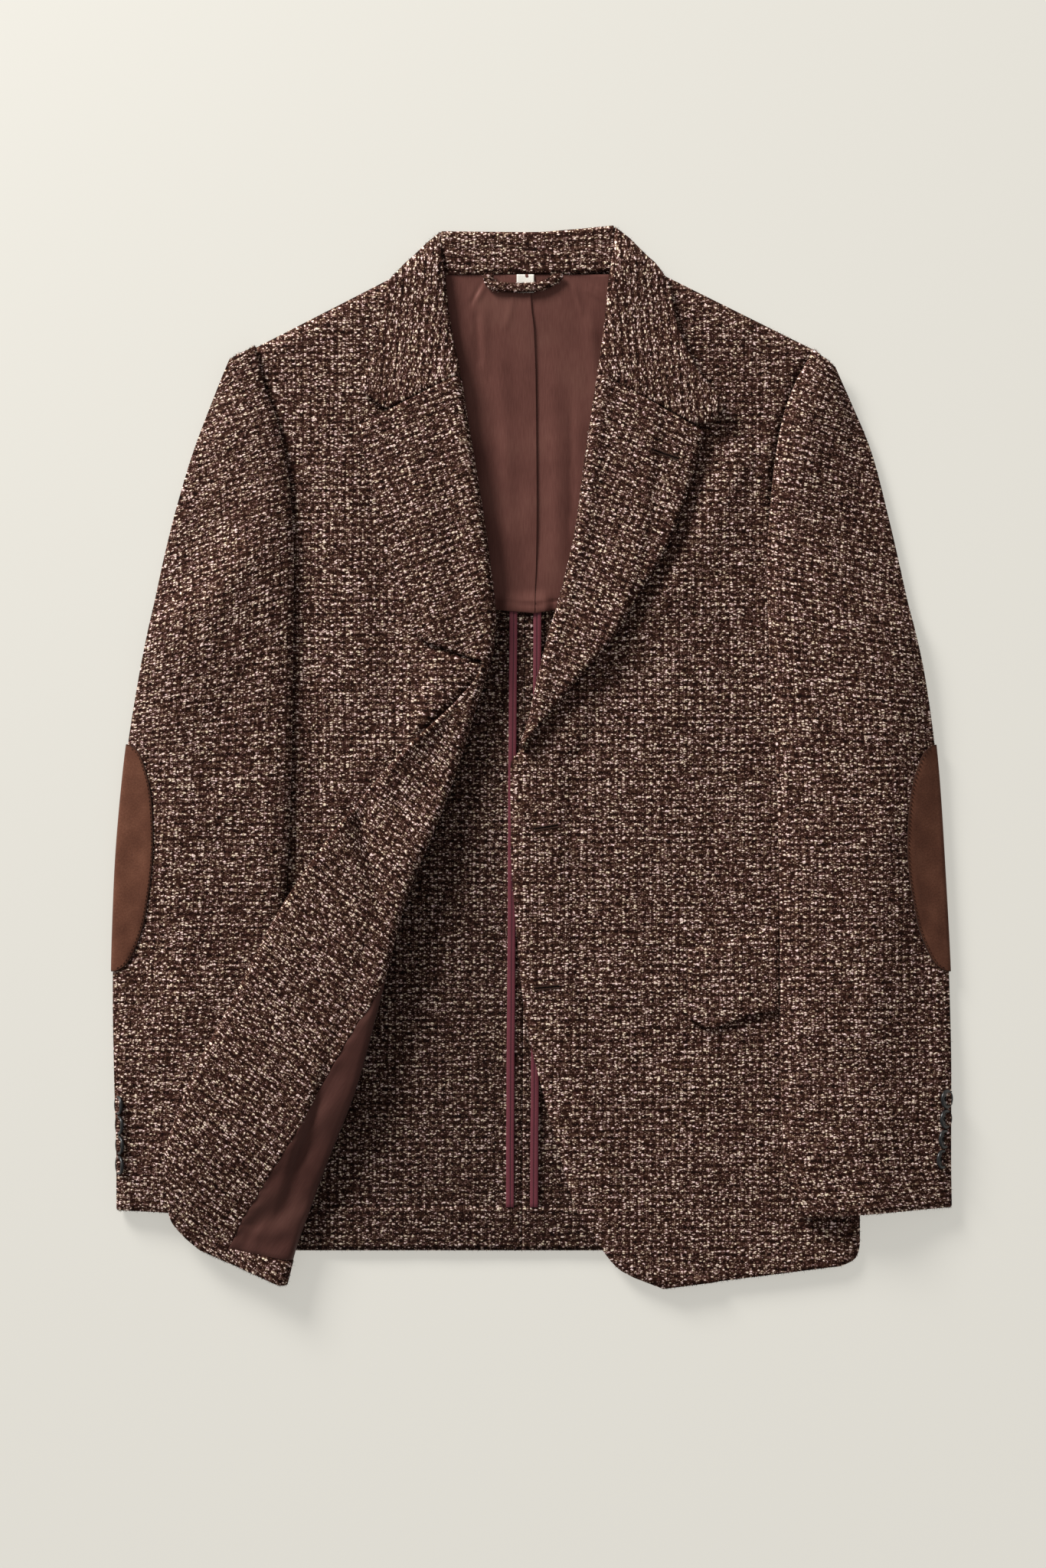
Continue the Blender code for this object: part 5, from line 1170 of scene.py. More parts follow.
class Nodes:
    """A material's node tree, written as short calls."""

    def __init__(self, name):
        self.material = bpy.data.materials.new(name)
        self.material.use_nodes = True
        self.tree = self.material.node_tree
        self.shader = self.tree.nodes["Principled BSDF"]

    def add(self, kind, *links, **settings):
        """A new node with these settings, and with its inputs linked or set in turn."""
        node = self.tree.nodes.new("ShaderNode" + kind)
        for key, value in settings.items():
            setattr(node, key, value)
        for socket, value in enumerate(links):
            self.put(node.inputs[socket], value)
        return node

    def put(self, socket, value):
        """Links a socket to another one, or sets it to a number or colour."""
        if isinstance(value, bpy.types.NodeSocket):
            self.tree.links.new(value, socket)
        elif value is not None:
            socket.default_value = value

    def maths(self, operation, *values):
        """The result of a math node."""
        return self.add("Math", *values, operation=operation).outputs[0]

    def weave(self):
        """The cloth's own coordinates in millimetres, and in z the distance from its edge."""
        return self.add("Attribute", attribute_name="weave").outputs["Vector"]

    def scaled(self, vector, x, y, z=0.0):
        """A vector times another."""
        return self.add("VectorMath", vector, (x, y, z), operation="MULTIPLY").outputs[0]

    def noise(self, vector, scale, detail=2.0, roughness=0.5):
        """A noise node on a vector."""
        node = self.add("TexNoise")
        self.put(node.inputs["Vector"], vector)
        node.inputs["Scale"].default_value = scale
        node.inputs["Detail"].default_value = detail
        node.inputs["Roughness"].default_value = roughness
        return node

    def ramp(self, value, stops):
        """A colour from a value, by stops of position and colour."""
        node = self.add("ValToRGB", value)
        ramp = node.color_ramp
        for position, colour in stops[2:]:
            ramp.elements.new(position)
        for element, (position, colour) in zip(ramp.elements, sorted(stops)):
            element.position = position
            element.color = (*colour, 1.0)
        return node.outputs[0]

    def surface(self, **inputs):
        """Sets the shader's inputs, named as they are on it but with _ for a space."""
        for key, value in inputs.items():
            self.put(self.shader.inputs[key.replace("_", " ")], value)

    def bump(self, height, distance, strength):
        """Roughens the shader's surface by a height."""
        node = self.add("Bump")
        node.inputs["Strength"].default_value = strength
        node.inputs["Distance"].default_value = distance
        self.put(node.inputs["Height"], height)
        self.put(self.shader.inputs["Normal"], node.outputs[0])


def seen(red, green, blue):
    """A colour as it looks on a screen, from 0 to 255, as light."""
    values = np.array([red, green, blue]) / 255.0
    light = np.where(values <= 0.04045, values / 12.92, ((values + 0.055) / 1.055) ** 2.4)
    return tuple(float(value) for value in light)


CHECK_WIDE, CHECK_HIGH = 6.3, 5.2  # one repeat of the tweed's check
ROW_SHARE, COLUMN_SHARE = 0.10, 0.035  # how much of the check shows in the tweed's brightness
TWEED_STOPS = [
    (0.215, seen(18, 7, 5)),
    (0.30, seen(31, 14, 9)),
    (0.38, seen(46, 25, 18)),
    (0.46, seen(68, 44, 36)),
    (0.545, seen(105, 80, 70)),
    (0.63, seen(162, 137, 125)),
    (0.75, seen(240, 221, 208)),
]


def tweed(name, light=1.0):
    """Nubby wool: dark ground, pinkish brown yarn and pale nubs, in rows of a small woven check."""
    n = Nodes(name)
    place = n.weave()
    warp = n.noise(place, 0.2, 2.0).outputs["Color"]
    shift = n.add("VectorMath", warp, (0.5, 0.5, 0.5), operation="SUBTRACT").outputs[0]
    place = n.add("VectorMath", shift, (2.4, 1.8, 0.0), place, operation="MULTIPLY_ADD").outputs[0]
    split = n.add("SeparateXYZ", place)
    u, v = split.outputs[0], split.outputs[1]

    def wave(coordinate, period, phase=0.0):
        """A sine wave along a coordinate."""
        turn = n.maths("MULTIPLY_ADD", coordinate, 2 * math.pi / period, phase)
        return n.maths("SINE", turn)

    def nubs(wide, high, seed, most, least):
        """Round nubs, each of its own brightness, on the ground between them."""
        cells = n.add("TexVoronoi", n.add("VectorMath", place, (1 / wide, 1 / high, 0.0), (seed, seed, 0.0),
                                          operation="MULTIPLY_ADD").outputs[0], voronoi_dimensions="2D")
        cells.inputs["Scale"].default_value = 1.0
        cells.inputs["Randomness"].default_value = 0.9
        bright = n.maths("POWER", n.add("SeparateColor", cells.outputs["Color"]).outputs[0], 1.5)
        body = n.maths("MULTIPLY_ADD", cells.outputs["Distance"], -1.9, 1.15)
        body = n.maths("MINIMUM", n.maths("MAXIMUM", body, 0.0), 1.0)
        return n.maths("MULTIPLY", n.maths("MULTIPLY_ADD", bright, most - least, least), body)

    fade = n.maths("MULTIPLY_ADD", wave(u, CHECK_WIDE, 0.6), 0.45, 0.75)
    rows = n.maths("MULTIPLY", wave(v, CHECK_HIGH), fade)
    columns = wave(u, CHECK_WIDE, 2.0)
    across = n.noise(n.scaled(place, 0.045, 0.40), 1.0, 1.0).outputs[0]
    down = n.noise(n.scaled(place, 0.30, 0.05), 1.0, 1.0).outputs[0]
    fibre = n.noise(n.scaled(place, 1.7, 2.1), 1.0, 3.0, 0.7).outputs[0]
    value = n.maths("MULTIPLY_ADD", rows, ROW_SHARE, 0.06)
    value = n.maths("MULTIPLY_ADD", columns, COLUMN_SHARE, value)
    value = n.maths("ADD", nubs(2.9, 1.7, 0.0, 0.62, 0.0), value)
    value = n.maths("ADD", nubs(1.5, 1.0, 7.3, 0.50, 0.0), value)
    value = n.maths("MULTIPLY_ADD", across, 0.22, value)
    value = n.maths("MULTIPLY_ADD", down, 0.14, value)
    value = n.maths("MULTIPLY_ADD", fibre, 0.30, value)
    value = n.maths("MULTIPLY", value, 0.8)
    colour = n.ramp(value, TWEED_STOPS)
    # The yarns differ in hue, from mauve brown to cream.
    hue = n.noise(n.scaled(place, 0.34, 0.5), 1.0, 2.0, 0.6).outputs["Color"]
    hue = n.add("SeparateColor", hue).outputs[1]
    hue = n.maths("MINIMUM", n.maths("MAXIMUM", n.maths("MULTIPLY_ADD", hue, 3.2, -1.1), 0.0), 1.0)
    shares = [n.maths("MULTIPLY_ADD", hue, slope, start)
              for slope, start in ((-0.04, 1.03), (0.09, 0.945), (-0.22, 1.08))]
    tint = n.add("CombineXYZ", *shares).outputs[0]
    colour = n.add("VectorMath", colour, tint, operation="MULTIPLY").outputs[0]
    # A light below 1 gives a darker copy of the tweed: painted shade.
    if light != 1.0:
        colour = n.add("VectorMath", colour, (light, light, light), operation="MULTIPLY").outputs[0]
    n.surface(Base_Color=colour, Roughness=0.95, Specular_IOR_Level=0.08, Sheen_Weight=0.03,
              Sheen_Roughness=0.5, Sheen_Tint=(*seen(150, 110, 100), 1.0))
    n.bump(value, 0.0009, 0.7)
    return n.material


def satin(name, light=1.0):
    """Lining: a close smooth weave with a soft shine."""
    n = Nodes(name)
    place = n.weave()
    blotch = n.noise(n.scaled(place, 0.02, 0.02), 1.0, 2.0).outputs[0]
    yarn = n.noise(n.scaled(place, 1.1, 0.1), 1.0, 2.0).outputs[0]
    value = n.maths("MULTIPLY_ADD", yarn, 0.35, n.maths("MULTIPLY", blotch, 0.65))
    colours = ((73, 43, 38), (87, 54, 48), (98, 65, 57))
    # A light below 1 gives a darker copy of the lining: painted shade.
    stops = [(at, tuple(light * c for c in seen(*colour))) for at, colour in zip((0.3, 0.5, 0.7), colours)]
    n.surface(Base_Color=n.ramp(value, stops), Roughness=n.maths("MULTIPLY_ADD", yarn, 0.16, 0.42),
              Specular_IOR_Level=0.3, Specular_Tint=(*seen(255, 190, 175), 1.0), Sheen_Weight=0.04)
    n.bump(yarn, 0.0002, 0.2)
    return n.material


def bias_tape(name):
    """Burgundy tape, darker in the stitched line along its middle."""
    n = Nodes(name)
    across = n.add("SeparateXYZ", n.weave()).outputs[0]
    off = n.maths("ABSOLUTE", n.maths("SUBTRACT", across, BINDING_WIDTH * 0.55))
    line = n.maths("MINIMUM", n.maths("MULTIPLY_ADD", off, 1.5, 0.05), 1.0)
    yarn = n.noise(n.scaled(n.weave(), 1.2, 1.2), 1.0, 2.0).outputs[0]
    value = n.maths("MULTIPLY", n.maths("MULTIPLY_ADD", yarn, 0.5, 0.5), line)
    colour = n.ramp(value, [(0.0, seen(40, 12, 17)), (0.5, seen(80, 32, 40)), (0.9, seen(108, 48, 58))])
    n.surface(Base_Color=colour, Roughness=0.6, Specular_IOR_Level=0.25, Sheen_Weight=0.05)
    n.bump(value, 0.0003, 0.4)
    return n.material


def suede(name):
    """Brown suede with a fine nap, darker toward its edge."""
    n = Nodes(name)
    place = n.weave()
    nap = n.noise(n.scaled(place, 0.7, 0.7), 1.0, 4.0, 0.6).outputs[0]
    cloud = n.noise(n.scaled(place, 0.05, 0.05), 1.0, 2.0).outputs[0]
    rim = n.add("SeparateXYZ", place).outputs[2]
    value = n.maths("MULTIPLY_ADD", cloud, 0.5, n.maths("MULTIPLY", nap, 0.5))
    colour = n.ramp(value, [(0.3, seen(71, 41, 30)), (0.5, seen(88, 54, 40)), (0.7, seen(104, 67, 51))])
    border = n.maths("MINIMUM", n.maths("MULTIPLY_ADD", rim, 0.45, 0.35), 1.0)
    shade = n.add("CombineXYZ", border, border, border).outputs[0]
    colour = n.add("VectorMath", colour, shade, operation="MULTIPLY").outputs[0]
    n.surface(Base_Color=colour, Roughness=0.95, Sheen_Weight=0.05, Specular_IOR_Level=0.1)
    n.bump(nap, 0.0003, 0.5)
    return n.material


def horn(name):
    """Near-black horn, faintly clouded."""
    n = Nodes(name)
    where = n.add("TexCoord").outputs["Object"]
    cloud = n.noise(where, 260.0, 3.0).outputs[0]
    colour = n.ramp(cloud, [(0.3, seen(15, 15, 16)), (0.55, seen(25, 25, 26)), (0.75, seen(42, 41, 41))])
    n.surface(Base_Color=colour, Roughness=n.maths("MULTIPLY_ADD", cloud, 0.2, 0.25))
    n.bump(cloud, 0.0001, 0.3)
    return n.material


def label_cloth(name):
    """Off-white woven cloth."""
    n = Nodes(name)
    yarn = n.noise(n.scaled(n.weave(), 1.5, 3.0), 1.0, 2.0).outputs[0]
    stops = [(0.3, seen(205, 200, 190)), (0.5, seen(222, 218, 208)), (0.7, seen(234, 230, 222))]
    colour = n.ramp(yarn, stops)
    n.surface(Base_Color=colour, Roughness=0.8)
    n.bump(yarn, 0.0002, 0.3)
    return n.material


# ---------------------------------------------------------------- buttons

BUTTON_RADIUS, BUTTON_THICKNESS, BUTTON_PITCH, BUTTONS = 7.3, 2.8, 15.1, 4
BUTTON_TOP = {-1: -262.5, 1: -257.8}
BUTTON_TILT = {-1: 64.0, 1: 50.0}
BUTTON_IN = {-1: (2.6, 2.6, 2.5, 2.3), 1: (2.2, 2.8, 3.8, 5.4)}  # how far each one sits in from the fold
HOLES = 4
HOLE_RADIUS, HOLE_RING = 0.75, 1.65
# Radius and height of the button's rings, from its dished middle over the rim and down to its foot.
BUTTON_RINGS = [(0.0, 1.1), (1.0, 1.1), (2.6, 1.15), (4.0, 1.35), (4.7, 1.7), (5.2, 2.3), (5.8, 2.7),
                (6.4, BUTTON_THICKNESS), (6.9, 2.6), (7.2, 2.2), (BUTTON_RADIUS, 1.7), (7.1, 0.9), (6.5, 0.3),
                (5.6, 0.0), (0.0, 0.0)]
BUTTON_SIDES, PIT_SIDES, THREAD_SIDES = 48, 12, 6


def ring(centre, one, other, radius, sides):
    """Points of a circle, in the plane of two directions."""
    turns = [2 * math.pi * k / sides for k in range(sides)]
    return [centre + (one * math.cos(turn) + other * math.sin(turn)) * radius for turn in turns]


def band(low, high, sides):
    """Faces between two rings of points, given by the number of each ring's first point."""
    return [(low + k, low + (k + 1) % sides, high + (k + 1) % sides, high + k) for k in range(sides)]


def button_body(centre, out, along, aside):
    """Points and faces of a button with a raised rim and a dished middle."""
    sides, shown = BUTTON_SIDES, BUTTON_RINGS[1:-1]
    points = [point for radius, height in shown
              for point in ring(centre + out * height, along, aside, radius, sides)]
    last = (len(shown) - 1) * sides
    faces = [(low + k, low + sides + k, low + sides + (k + 1) % sides, low + (k + 1) % sides)
             for low in range(0, last, sides) for k in range(sides)]
    middle, foot = len(points), len(points) + 1
    points += [centre + out * BUTTON_RINGS[0][1], centre]
    for k in range(sides):
        after = (k + 1) % sides
        faces += [(k, after, middle), (last + after, last + k, foot)]
    return points, faces


def button_pits(centre, out, along, aside):
    """Points and faces of dark discs of painted shade that stand for the four holes, a little above the
    dished middle.
    """
    points, faces = [], []
    for hole in range(HOLES):
        angle = math.pi / 4 + hole * 2 * math.pi / HOLES
        spot = centre + out * 1.12 + (along * math.cos(angle) + aside * math.sin(angle)) * HOLE_RING * 1.05
        start = len(points)
        points += ring(spot, along, aside, HOLE_RADIUS, PIT_SIDES)
        points += ring(spot + out * 0.12, along, aside, HOLE_RADIUS * 0.8, PIT_SIDES)
        inner = start + PIT_SIDES
        faces += band(start, inner, PIT_SIDES) + [tuple(inner + k for k in range(PIT_SIDES))]
    return points, faces


def button_thread(centre, out, along, aside):
    """Points and faces of the two bars of thread between the holes."""
    points, faces = [], []
    for sign in (-1, 1):
        start = centre + out * 1.3 + aside * sign * HOLE_RING * 0.74 - along * HOLE_RING * 0.74
        end = start + along * HOLE_RING * 1.48
        base = len(points)
        for step in range(7):
            share = step / 6
            ridge = start + (end - start) * share + out * 0.35 * math.sin(math.pi * share)
            points += ring(ridge, out, aside, 0.38, THREAD_SIDES)
        for step in range(6):
            low = base + step * THREAD_SIDES
            faces += band(low, low + THREAD_SIDES, THREAD_SIDES)
    return points, faces


def cuff_button(hand, side, count, finish, thread, dark):
    """A sew-through button on the outer fold of the sleeve, with its holes and its thread."""
    y = BUTTON_TOP[hand] - count * BUTTON_PITCH
    tilt = BUTTON_TILT[hand]
    station = np.array([sleeve_station(hand, y)])
    surface = sleeve_point(hand, station, 4.0 - (90.0 - tilt) / 90.0)[0]
    lean = math.radians(tilt)
    out = np.array([hand * math.sin(lean), 0.0, math.cos(lean)])
    centre = surface + out * (SLEEVE_WALL / 2 - 0.9)
    centre[1] = y
    centre[0] -= hand * BUTTON_IN[hand][count]
    centre[2] += 0.3 * BUTTON_IN[hand][count]
    along = np.array([0.0, 1.0, 0.0])
    place = (centre, out, along, np.cross(out, along))
    name = f"cuff_button_{side}_{count + 1}"
    made = piece(name, *button_body(*place), finish, "button")
    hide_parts(name)
    # The holes are dark discs of painted shade.
    piece(name + "_holes", *button_pits(*place), dark, "button")
    piece(name + "_thread", *button_thread(*place), thread, "button")


# ---------------------------------------------------------------- sewing and nap


def thread_and_shade(name, colour):
    """Sewing thread, and also the near-black painted shade in the buttonholes' slits and the buttons' holes.
    """
    n = Nodes(name)
    twist = n.noise(n.add("TexCoord").outputs["Object"], 2600.0, 1.0).outputs[0]
    pale, dark = seen(*colour), seen(*(0.7 * c for c in colour))
    n.surface(Base_Color=n.ramp(twist, [(0.35, dark), (0.65, pale)]), Roughness=0.8, Specular_IOR_Level=0.06)
    n.bump(twist, 0.0001, 0.4)
    return n.material


class Cover:
    """The highest cloth over each point, seen from above."""

    def __init__(self, objects):
        points, faces, start = [], [], 0
        for thing in objects:
            mesh = thing.data
            corners = np.empty(len(mesh.loops), np.int32)
            mesh.loops.foreach_get("vertex_index", corners)
            points.append(vertex_places(mesh))
            faces.append(corners.reshape(-1, 4) + start)
            start += len(mesh.vertices)
        self.tree = BVHTree.FromPolygons(np.concatenate(points).tolist(), np.concatenate(faces).tolist())

    def at(self, x, y):
        """Height in millimetres at a place in the coat's frame, or None past the cloth."""
        spot = ((x - MIDDLE[0]) * MM, (y - MIDDLE[1]) * MM, 0.2)
        hit = self.tree.ray_cast(Vector(spot), Vector((0.0, 0.0, -1.0)))[0]
        return None if hit is None else hit.z / MM


# Along a stitch: share of its length, thickness, and how far it stands up, in radii.
STITCH = ((0.0, 0.25, -0.5), (0.2, 0.85, 0.1), (0.5, 1.0, 0.35), (0.8, 0.85, 0.1), (1.0, 0.25, -0.5))


def stitches(name, pairs, radius, finish, slot):
    """Short threads, each from one point to another, with their ends sunk in the cloth."""
    points, faces, sides = [], [], THREAD_SIDES
    for start, end in pairs:
        start, end = np.asarray(start, float), np.asarray(end, float)
        ahead = (end - start) / max(np.linalg.norm(end - start), 1e-6)
        aside = np.cross(ahead, (0.0, 0.0, 1.0))
        aside /= max(np.linalg.norm(aside), 1e-6)
        rise = np.cross(aside, ahead)
        base = len(points)
        last = base + (len(STITCH) - 1) * sides
        for share, thick, lift in STITCH:
            spot = start + (end - start) * share + rise * lift * radius
            points += ring(spot, aside, rise, radius * thick, sides)
        for low in range(base, last, sides):
            faces += band(low, low + sides, sides)
        faces.append(tuple(base + k for k in reversed(range(sides))))
        faces.append(tuple(last + k for k in range(sides)))
    piece(name, points, faces, finish, slot)


def on_cloth(cover, x, y, lift=0.15):
    """The point just above the cloth here, or None past it."""
    height = cover.at(x, y)
    return None if height is None else np.array([x, y, height + lift])


def both_on_cloth(cover, start, end, lift=0.15):
    """A list with the pair of points just above the cloth at two places, or empty if either is past it."""
    ends = [on_cloth(cover, *start, lift), on_cloth(cover, *end, lift)]
    return [] if ends[0] is None or ends[1] is None else [ends]


def buttonhole(name, cover, start, end, thread, dark):
    """A worked hole: a narrow slit with an eye at its outer end, edged all round with thread; the slit is a
    near-black sheet of painted shade.
    """
    start, end = np.array(start, float), np.array(end, float)
    length = np.linalg.norm(end - start)
    ahead = (end - start) / length
    aside = np.array([-ahead[1], ahead[0]])
    pairs = []
    for step in np.arange(0.0, length, 0.75):
        for sign in (-1, 1):
            spot = start + ahead * step
            pairs += both_on_cloth(cover, spot + aside * sign * 0.35, spot + aside * sign * 1.9)
    eye = end + ahead * 1.2
    for angle in np.linspace(-2.5, 2.5, 13):
        spoke = ahead * math.cos(angle) + aside * math.sin(angle)
        pairs += both_on_cloth(cover, eye + spoke * 0.8, eye + spoke * 2.2)
    stitches(name + "_stitches", pairs, 0.33, thread, "tweed")
    # The slit: a near-black sheet of painted shade in the cut.
    rows = 14
    points, faces = [], []
    for row in range(rows + 1):
        middle = start + (eye - start) * row / rows
        half = 0.55 if row < rows else 0.75
        for side in (-half, half):
            spot = on_cloth(cover, *(middle + aside * side), 0.12)
            points += [spot, spot - (0.0, 0.0, 0.5)]
    for a in range(0, rows * 4, 4):
        b = a + 4
        faces += [(a, a + 2, b + 2, b), (a + 1, b + 1, b + 3, a + 3), (a, b, b + 1, a + 1),
                  (a + 2, a + 3, b + 3, b + 2)]
    faces += [(0, 1, 3, 2), (rows * 4, rows * 4 + 2, rows * 4 + 3, rows * 4 + 1)]
    piece(name + "_slit", points, faces, dark, "tweed")


def patch_stitches(name, cover, hand, thread):
    """The row of stitches round an elbow patch, a little in from its edge."""
    y, reach = read(PATCH, np.linspace(0.0, len(PATCH["y"]) - 1.0, 400), "y", "reach")
    stations = sleeve_station(hand, y)
    outer_x, outer_y = read(SLEEVES[hand], stations, "outer_x", "outer_y")
    path = np.stack([outer_x - hand * reach, outer_y], axis=1)
    ahead = np.gradient(path, axis=0)
    ahead /= np.linalg.norm(ahead, axis=1, keepdims=True)
    path = path + np.stack([-ahead[:, 1], ahead[:, 0]], axis=1) * 1.9 * hand
    along = np.concatenate([[0.0], np.cumsum(np.linalg.norm(np.diff(path, axis=0), axis=1))])
    pairs = []
    for step in np.arange(2.0, along[-1] - 3.0, 3.0):
        spots = [[np.interp(at, along, path[:, k]) for k in (0, 1)] for at in (step, step + 1.9)]
        pairs += [ends for ends in both_on_cloth(cover, *spots, 0.1) if abs(ends[0][2] - ends[1][2]) < 1.5]
    stitches(name, pairs, 0.3, thread, "suede")


def nap(name, cover, finish, seed, shown):
    """Nubs and loose fibres that stand off the tweed, most of them along edges and folds."""
    random = np.random.default_rng(seed)
    places, ways = [], []
    for thing in SHEETS:
        node = thing.name[5:]
        if slot_of(node) not in ("tweed", "tweed_facing") or node.startswith(("under_sleeve", "collar_back")):
            continue
        spots, outward, up, thickness = RIMS[node]
        for _ in range(3):
            tilt = random.uniform(-0.5, 0.9, (len(spots), 1))
            way = outward + up * tilt
            way /= np.linalg.norm(way, axis=1, keepdims=True)
            slide = random.uniform(-1.6, 1.6, (len(spots), 1)) * np.cross(up, outward)
            places.append(spots + slide + outward * thickness * 0.2 + way * thickness * 0.15)
            ways.append(way)
        mesh = thing.data
        count = len(mesh.vertices)
        across = np.empty(count * 3, np.float32)
        mesh.vertex_normals.foreach_get("vector", across)
        points, across = vertex_places(mesh) / MM + (*MIDDLE, 0.0), across.reshape(-1, 3)
        steep = (1.0 - np.abs(across[:, 2])) ** 2
        chosen = random.uniform(0, 1, count) < 0.02 + 0.5 * steep
        chosen &= across[:, 2] > -0.15
        slide = random.uniform(-1.2, 1.2, (chosen.sum(), 3)) * (1 - np.abs(across[chosen]))
        places.append(points[chosen] + slide)
        ways.append(across[chosen])
    places, ways = np.concatenate(places), np.concatenate(ways)
    bare = np.array([(cover.at(x, y) or -1.0) < z + 0.9 for x, y, z in places])
    places, ways = places[bare], ways[bare]
    order = random.permutation(len(places))[:shown]
    places, ways = places[order], ways[order]
    count = len(places)
    lean = random.normal(0.0, 0.7, (count, 3))
    ahead = ways + lean
    ahead /= np.linalg.norm(ahead, axis=1, keepdims=True)
    aside = np.cross(ahead, random.normal(0.0, 1.0, (count, 3)))
    aside /= np.linalg.norm(aside, axis=1, keepdims=True)
    third = np.cross(ahead, aside)
    nub = (random.uniform(0, 1, count) < 0.4)[:, None]
    wide = np.where(nub, random.uniform(0.22, 0.45, (count, 1)), random.uniform(0.06, 0.11, (count, 1)))
    long = np.where(nub, wide * random.uniform(0.8, 1.5, (count, 1)), random.uniform(0.9, 2.2, (count, 1)))
    tips = [aside * wide, third * wide, -aside * wide, -third * wide]
    centre = places + ahead * long * 0.2
    ends = [centre + ahead * long, centre - ahead * long * 0.6]
    points = np.stack([centre + tip for tip in tips] + ends, axis=1)
    points[..., 2] = np.maximum(points[..., 2], 0.0)
    faces = []
    for k in range(4):
        faces += [(k, (k + 1) % 4, 4), ((k + 1) % 4, k, 5)]
    faces = (np.array(faces)[None] + 6 * np.arange(count)[:, None, None]).reshape(-1, 3)
    marks = np.repeat(np.column_stack([places[:, :2] * 1.7, np.full(count, 9.0)]), 6, axis=0)
    piece(name, points.reshape(-1, 3), faces, finish, "tweed", marks)


NAP_SEED, NAP_COUNT = 77, 20000


def sew(wool):
    """The stitches of the patches, the buttonholes, and the nap, on the finished sheets."""
    cover = Cover(SHEETS)
    # dark is the near-black painted shade in the buttonholes' slits.
    brown, dark = thread_and_shade("sewing_brown", (70, 49, 41)), thread_and_shade("slit_shade", (16, 9, 7))
    patch_thread = thread_and_shade("patch_thread", (52, 32, 25))
    for side, hand in (("right", -1), ("left", 1)):
        patch_stitches(f"elbow_stitches_{side}", cover, hand, patch_thread)
    buttonhole("lapel_buttonhole", cover, (109.9, 224.8), (91.4, 231.1), brown, dark)
    buttonhole("front_buttonhole_1", cover, (19.0, -51.3), (2.6, -53.9), brown, dark)
    buttonhole("front_buttonhole_2", cover, (20.0, -172.8), (3.6, -174.3), brown, dark)
    nap("nap", cover, wool, NAP_SEED, NAP_COUNT)


# ---------------------------------------------------------------- stage

PIXEL = 0.58  # millimetres of the surface to one pixel of the 1366 x 2048 picture
CAMERA_HEIGHT = 2800.0
PICTURE_MIDDLE = (-7.9, -20.9)
SENSOR = 36.0  # width of the camera's sensor, which only sets the unit of the lens
FLOOR_COLOUR = (226, 223, 214)
FLOOR_LIT = 0.4  # share of the floor's tone that is lit; the rest it shines itself
FLOOR_REACH, FLOOR_DROP = 9.0, 0.0004  # in metres
FILL = 0.38  # strength of the even light from all round
# The key light is a far sun and a near lamp in one direction: their place in metres, the sun's angular size
# in degrees, the lamp's width in metres, and the strength of each.
KEY_PLACE = (-1.45, 1.95, 0.98)
KEY_ANGLE, KEY_SIZE = 19.0, 0.9
FAR_STRENGTH, NEAR_POWER = 2.7, 64.0


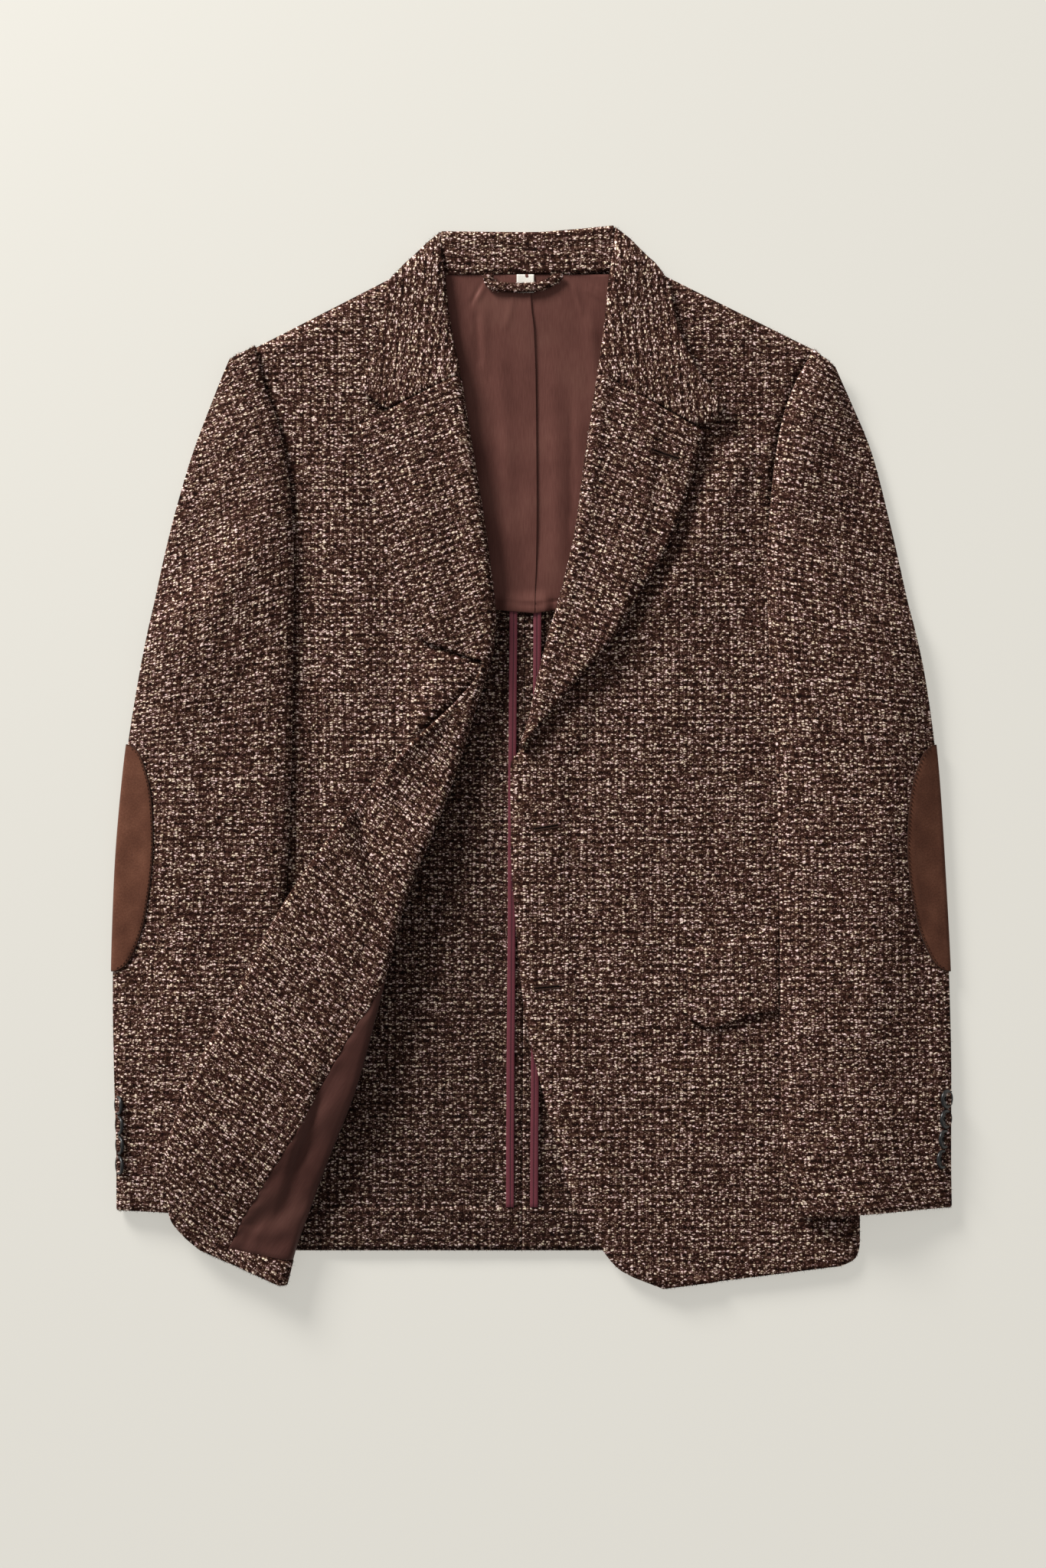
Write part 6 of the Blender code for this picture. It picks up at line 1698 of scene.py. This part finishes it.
def stage():
    """The floor, the lights and the camera."""
    floor = bpy.data.meshes.new("floor")
    corners = [(x * FLOOR_REACH, y * FLOOR_REACH, 0) for x, y in ((-1, -1), (1, -1), (1, 1), (-1, 1))]
    floor.from_pydata(corners, [], [(0, 1, 2, 3)])
    ground = bpy.data.objects.new("floor", floor)
    ground.location.z = -FLOOR_DROP
    paper = bpy.data.materials.new("floor")
    paper.use_nodes = True
    shader = paper.node_tree.nodes["Principled BSDF"]
    # A light table: it shines a little itself, so the shadows on it are faint.
    tone = np.array(seen(*FLOOR_COLOUR))
    shader.inputs["Base Color"].default_value = (*(tone * FLOOR_LIT), 1.0)
    shader.inputs["Emission Color"].default_value = (*tone, 1.0)
    shader.inputs["Emission Strength"].default_value = 1.0 - FLOOR_LIT
    shader.inputs["Roughness"].default_value = 0.9
    shader.inputs["Specular IOR Level"].default_value = 0.1
    floor.materials.append(paper)
    bpy.context.scene.collection.objects.link(ground)

    world = bpy.data.worlds.new("studio")
    world.use_nodes = True
    world.node_tree.nodes["Background"].inputs[0].default_value = (1.0, 1.0, 1.0, 1.0)
    world.node_tree.nodes["Background"].inputs[1].default_value = FILL
    bpy.context.scene.world = world
    for name, kind, energy in (("far_key", "SUN", FAR_STRENGTH), ("near_key", "AREA", NEAR_POWER)):
        key = bpy.data.lights.new(name, kind)
        key.energy = energy
        key.color = (1.0, 0.985, 0.965)
        if kind == "SUN":
            key.angle = math.radians(KEY_ANGLE)
        else:
            key.shape = "DISK"
            key.size = KEY_SIZE
        lamp = bpy.data.objects.new(name, key)
        lamp.location = KEY_PLACE
        lamp.rotation_mode = "QUATERNION"
        lamp.rotation_quaternion = (-Vector(KEY_PLACE)).to_track_quat("-Z", "Y")
        bpy.context.scene.collection.objects.link(lamp)

    view = bpy.data.cameras.new("camera")
    view.sensor_fit = "AUTO"
    view.sensor_width = SENSOR
    view.lens = SENSOR * CAMERA_HEIGHT / (2048 * PIXEL)
    view.clip_end = 20.0
    camera = bpy.data.objects.new("camera", view)
    camera.location = (PICTURE_MIDDLE[0] * MM, PICTURE_MIDDLE[1] * MM, CAMERA_HEIGHT * MM)
    bpy.context.scene.collection.objects.link(camera)
    bpy.context.scene.camera = camera
    bpy.context.scene.view_settings.view_transform = "Standard"


# ---------------------------------------------------------------- the coat


def dress():
    """Makes every piece of the coat."""
    wool = tweed("tweed")
    lining = satin("satin")
    tape = bias_tape("binding")
    patch = suede("suede")
    button = horn("button")
    label = label_cloth("label")
    thread = thread_and_shade("thread", (40, 32, 30))
    # Near-black painted shade for the buttons' holes.
    shade = thread_and_shade("hole_shade", (14, 10, 9))
    # The back's inside is the tweed darkened to 0.66: painted shade for the shadow and occlusion under the
    # fronts and the flap.
    inside = tweed("tweed_inside", 0.66)
    for side, hand in (("right", -1), ("left", 1)):
        back_half(hand, side, inside)
        seam_binding(hand, side, tape)
        back_lining(hand, side, lining)
        front(hand, side, wool)
        facing(hand, side, wool)
        collar_leaf(hand, side, wool)
        top_sleeve(hand, side, wool)
        under_sleeve(hand, side, wool)
        elbow_patch(hand, side, patch)
        for count in range(BUTTONS):
            cuff_button(hand, side, count, button, thread, shade)
    stations = dense(RIGHT_FRONT["roll_y"])
    shown = stations[(stations > LINING_TOP_STATION + 0.06) & (stations < LINING_HEM_STATION - 0.06)]
    stations = np.concatenate([[LINING_TOP_STATION + 0.05], shown, [LINING_HEM_STATION]])
    # The flap's lining is the satin darkened to 0.55: painted shade for the side of the roll turned away from
    # the light.
    beside_facing("front_lining_right", stations, LINING_WALL, satin("satin_flap", 0.55))
    beside_facing("front_hem_right", np.linspace(LINING_HEM_STATION + 0.04, 16.0, 8), FACING_WALL, wool)
    collar_stand(wool)
    collar_back(wool)
    hanger_loop(wool)
    size_label(label)
    pocket_flap(wool)
    sew(wool)


dress()
stage()
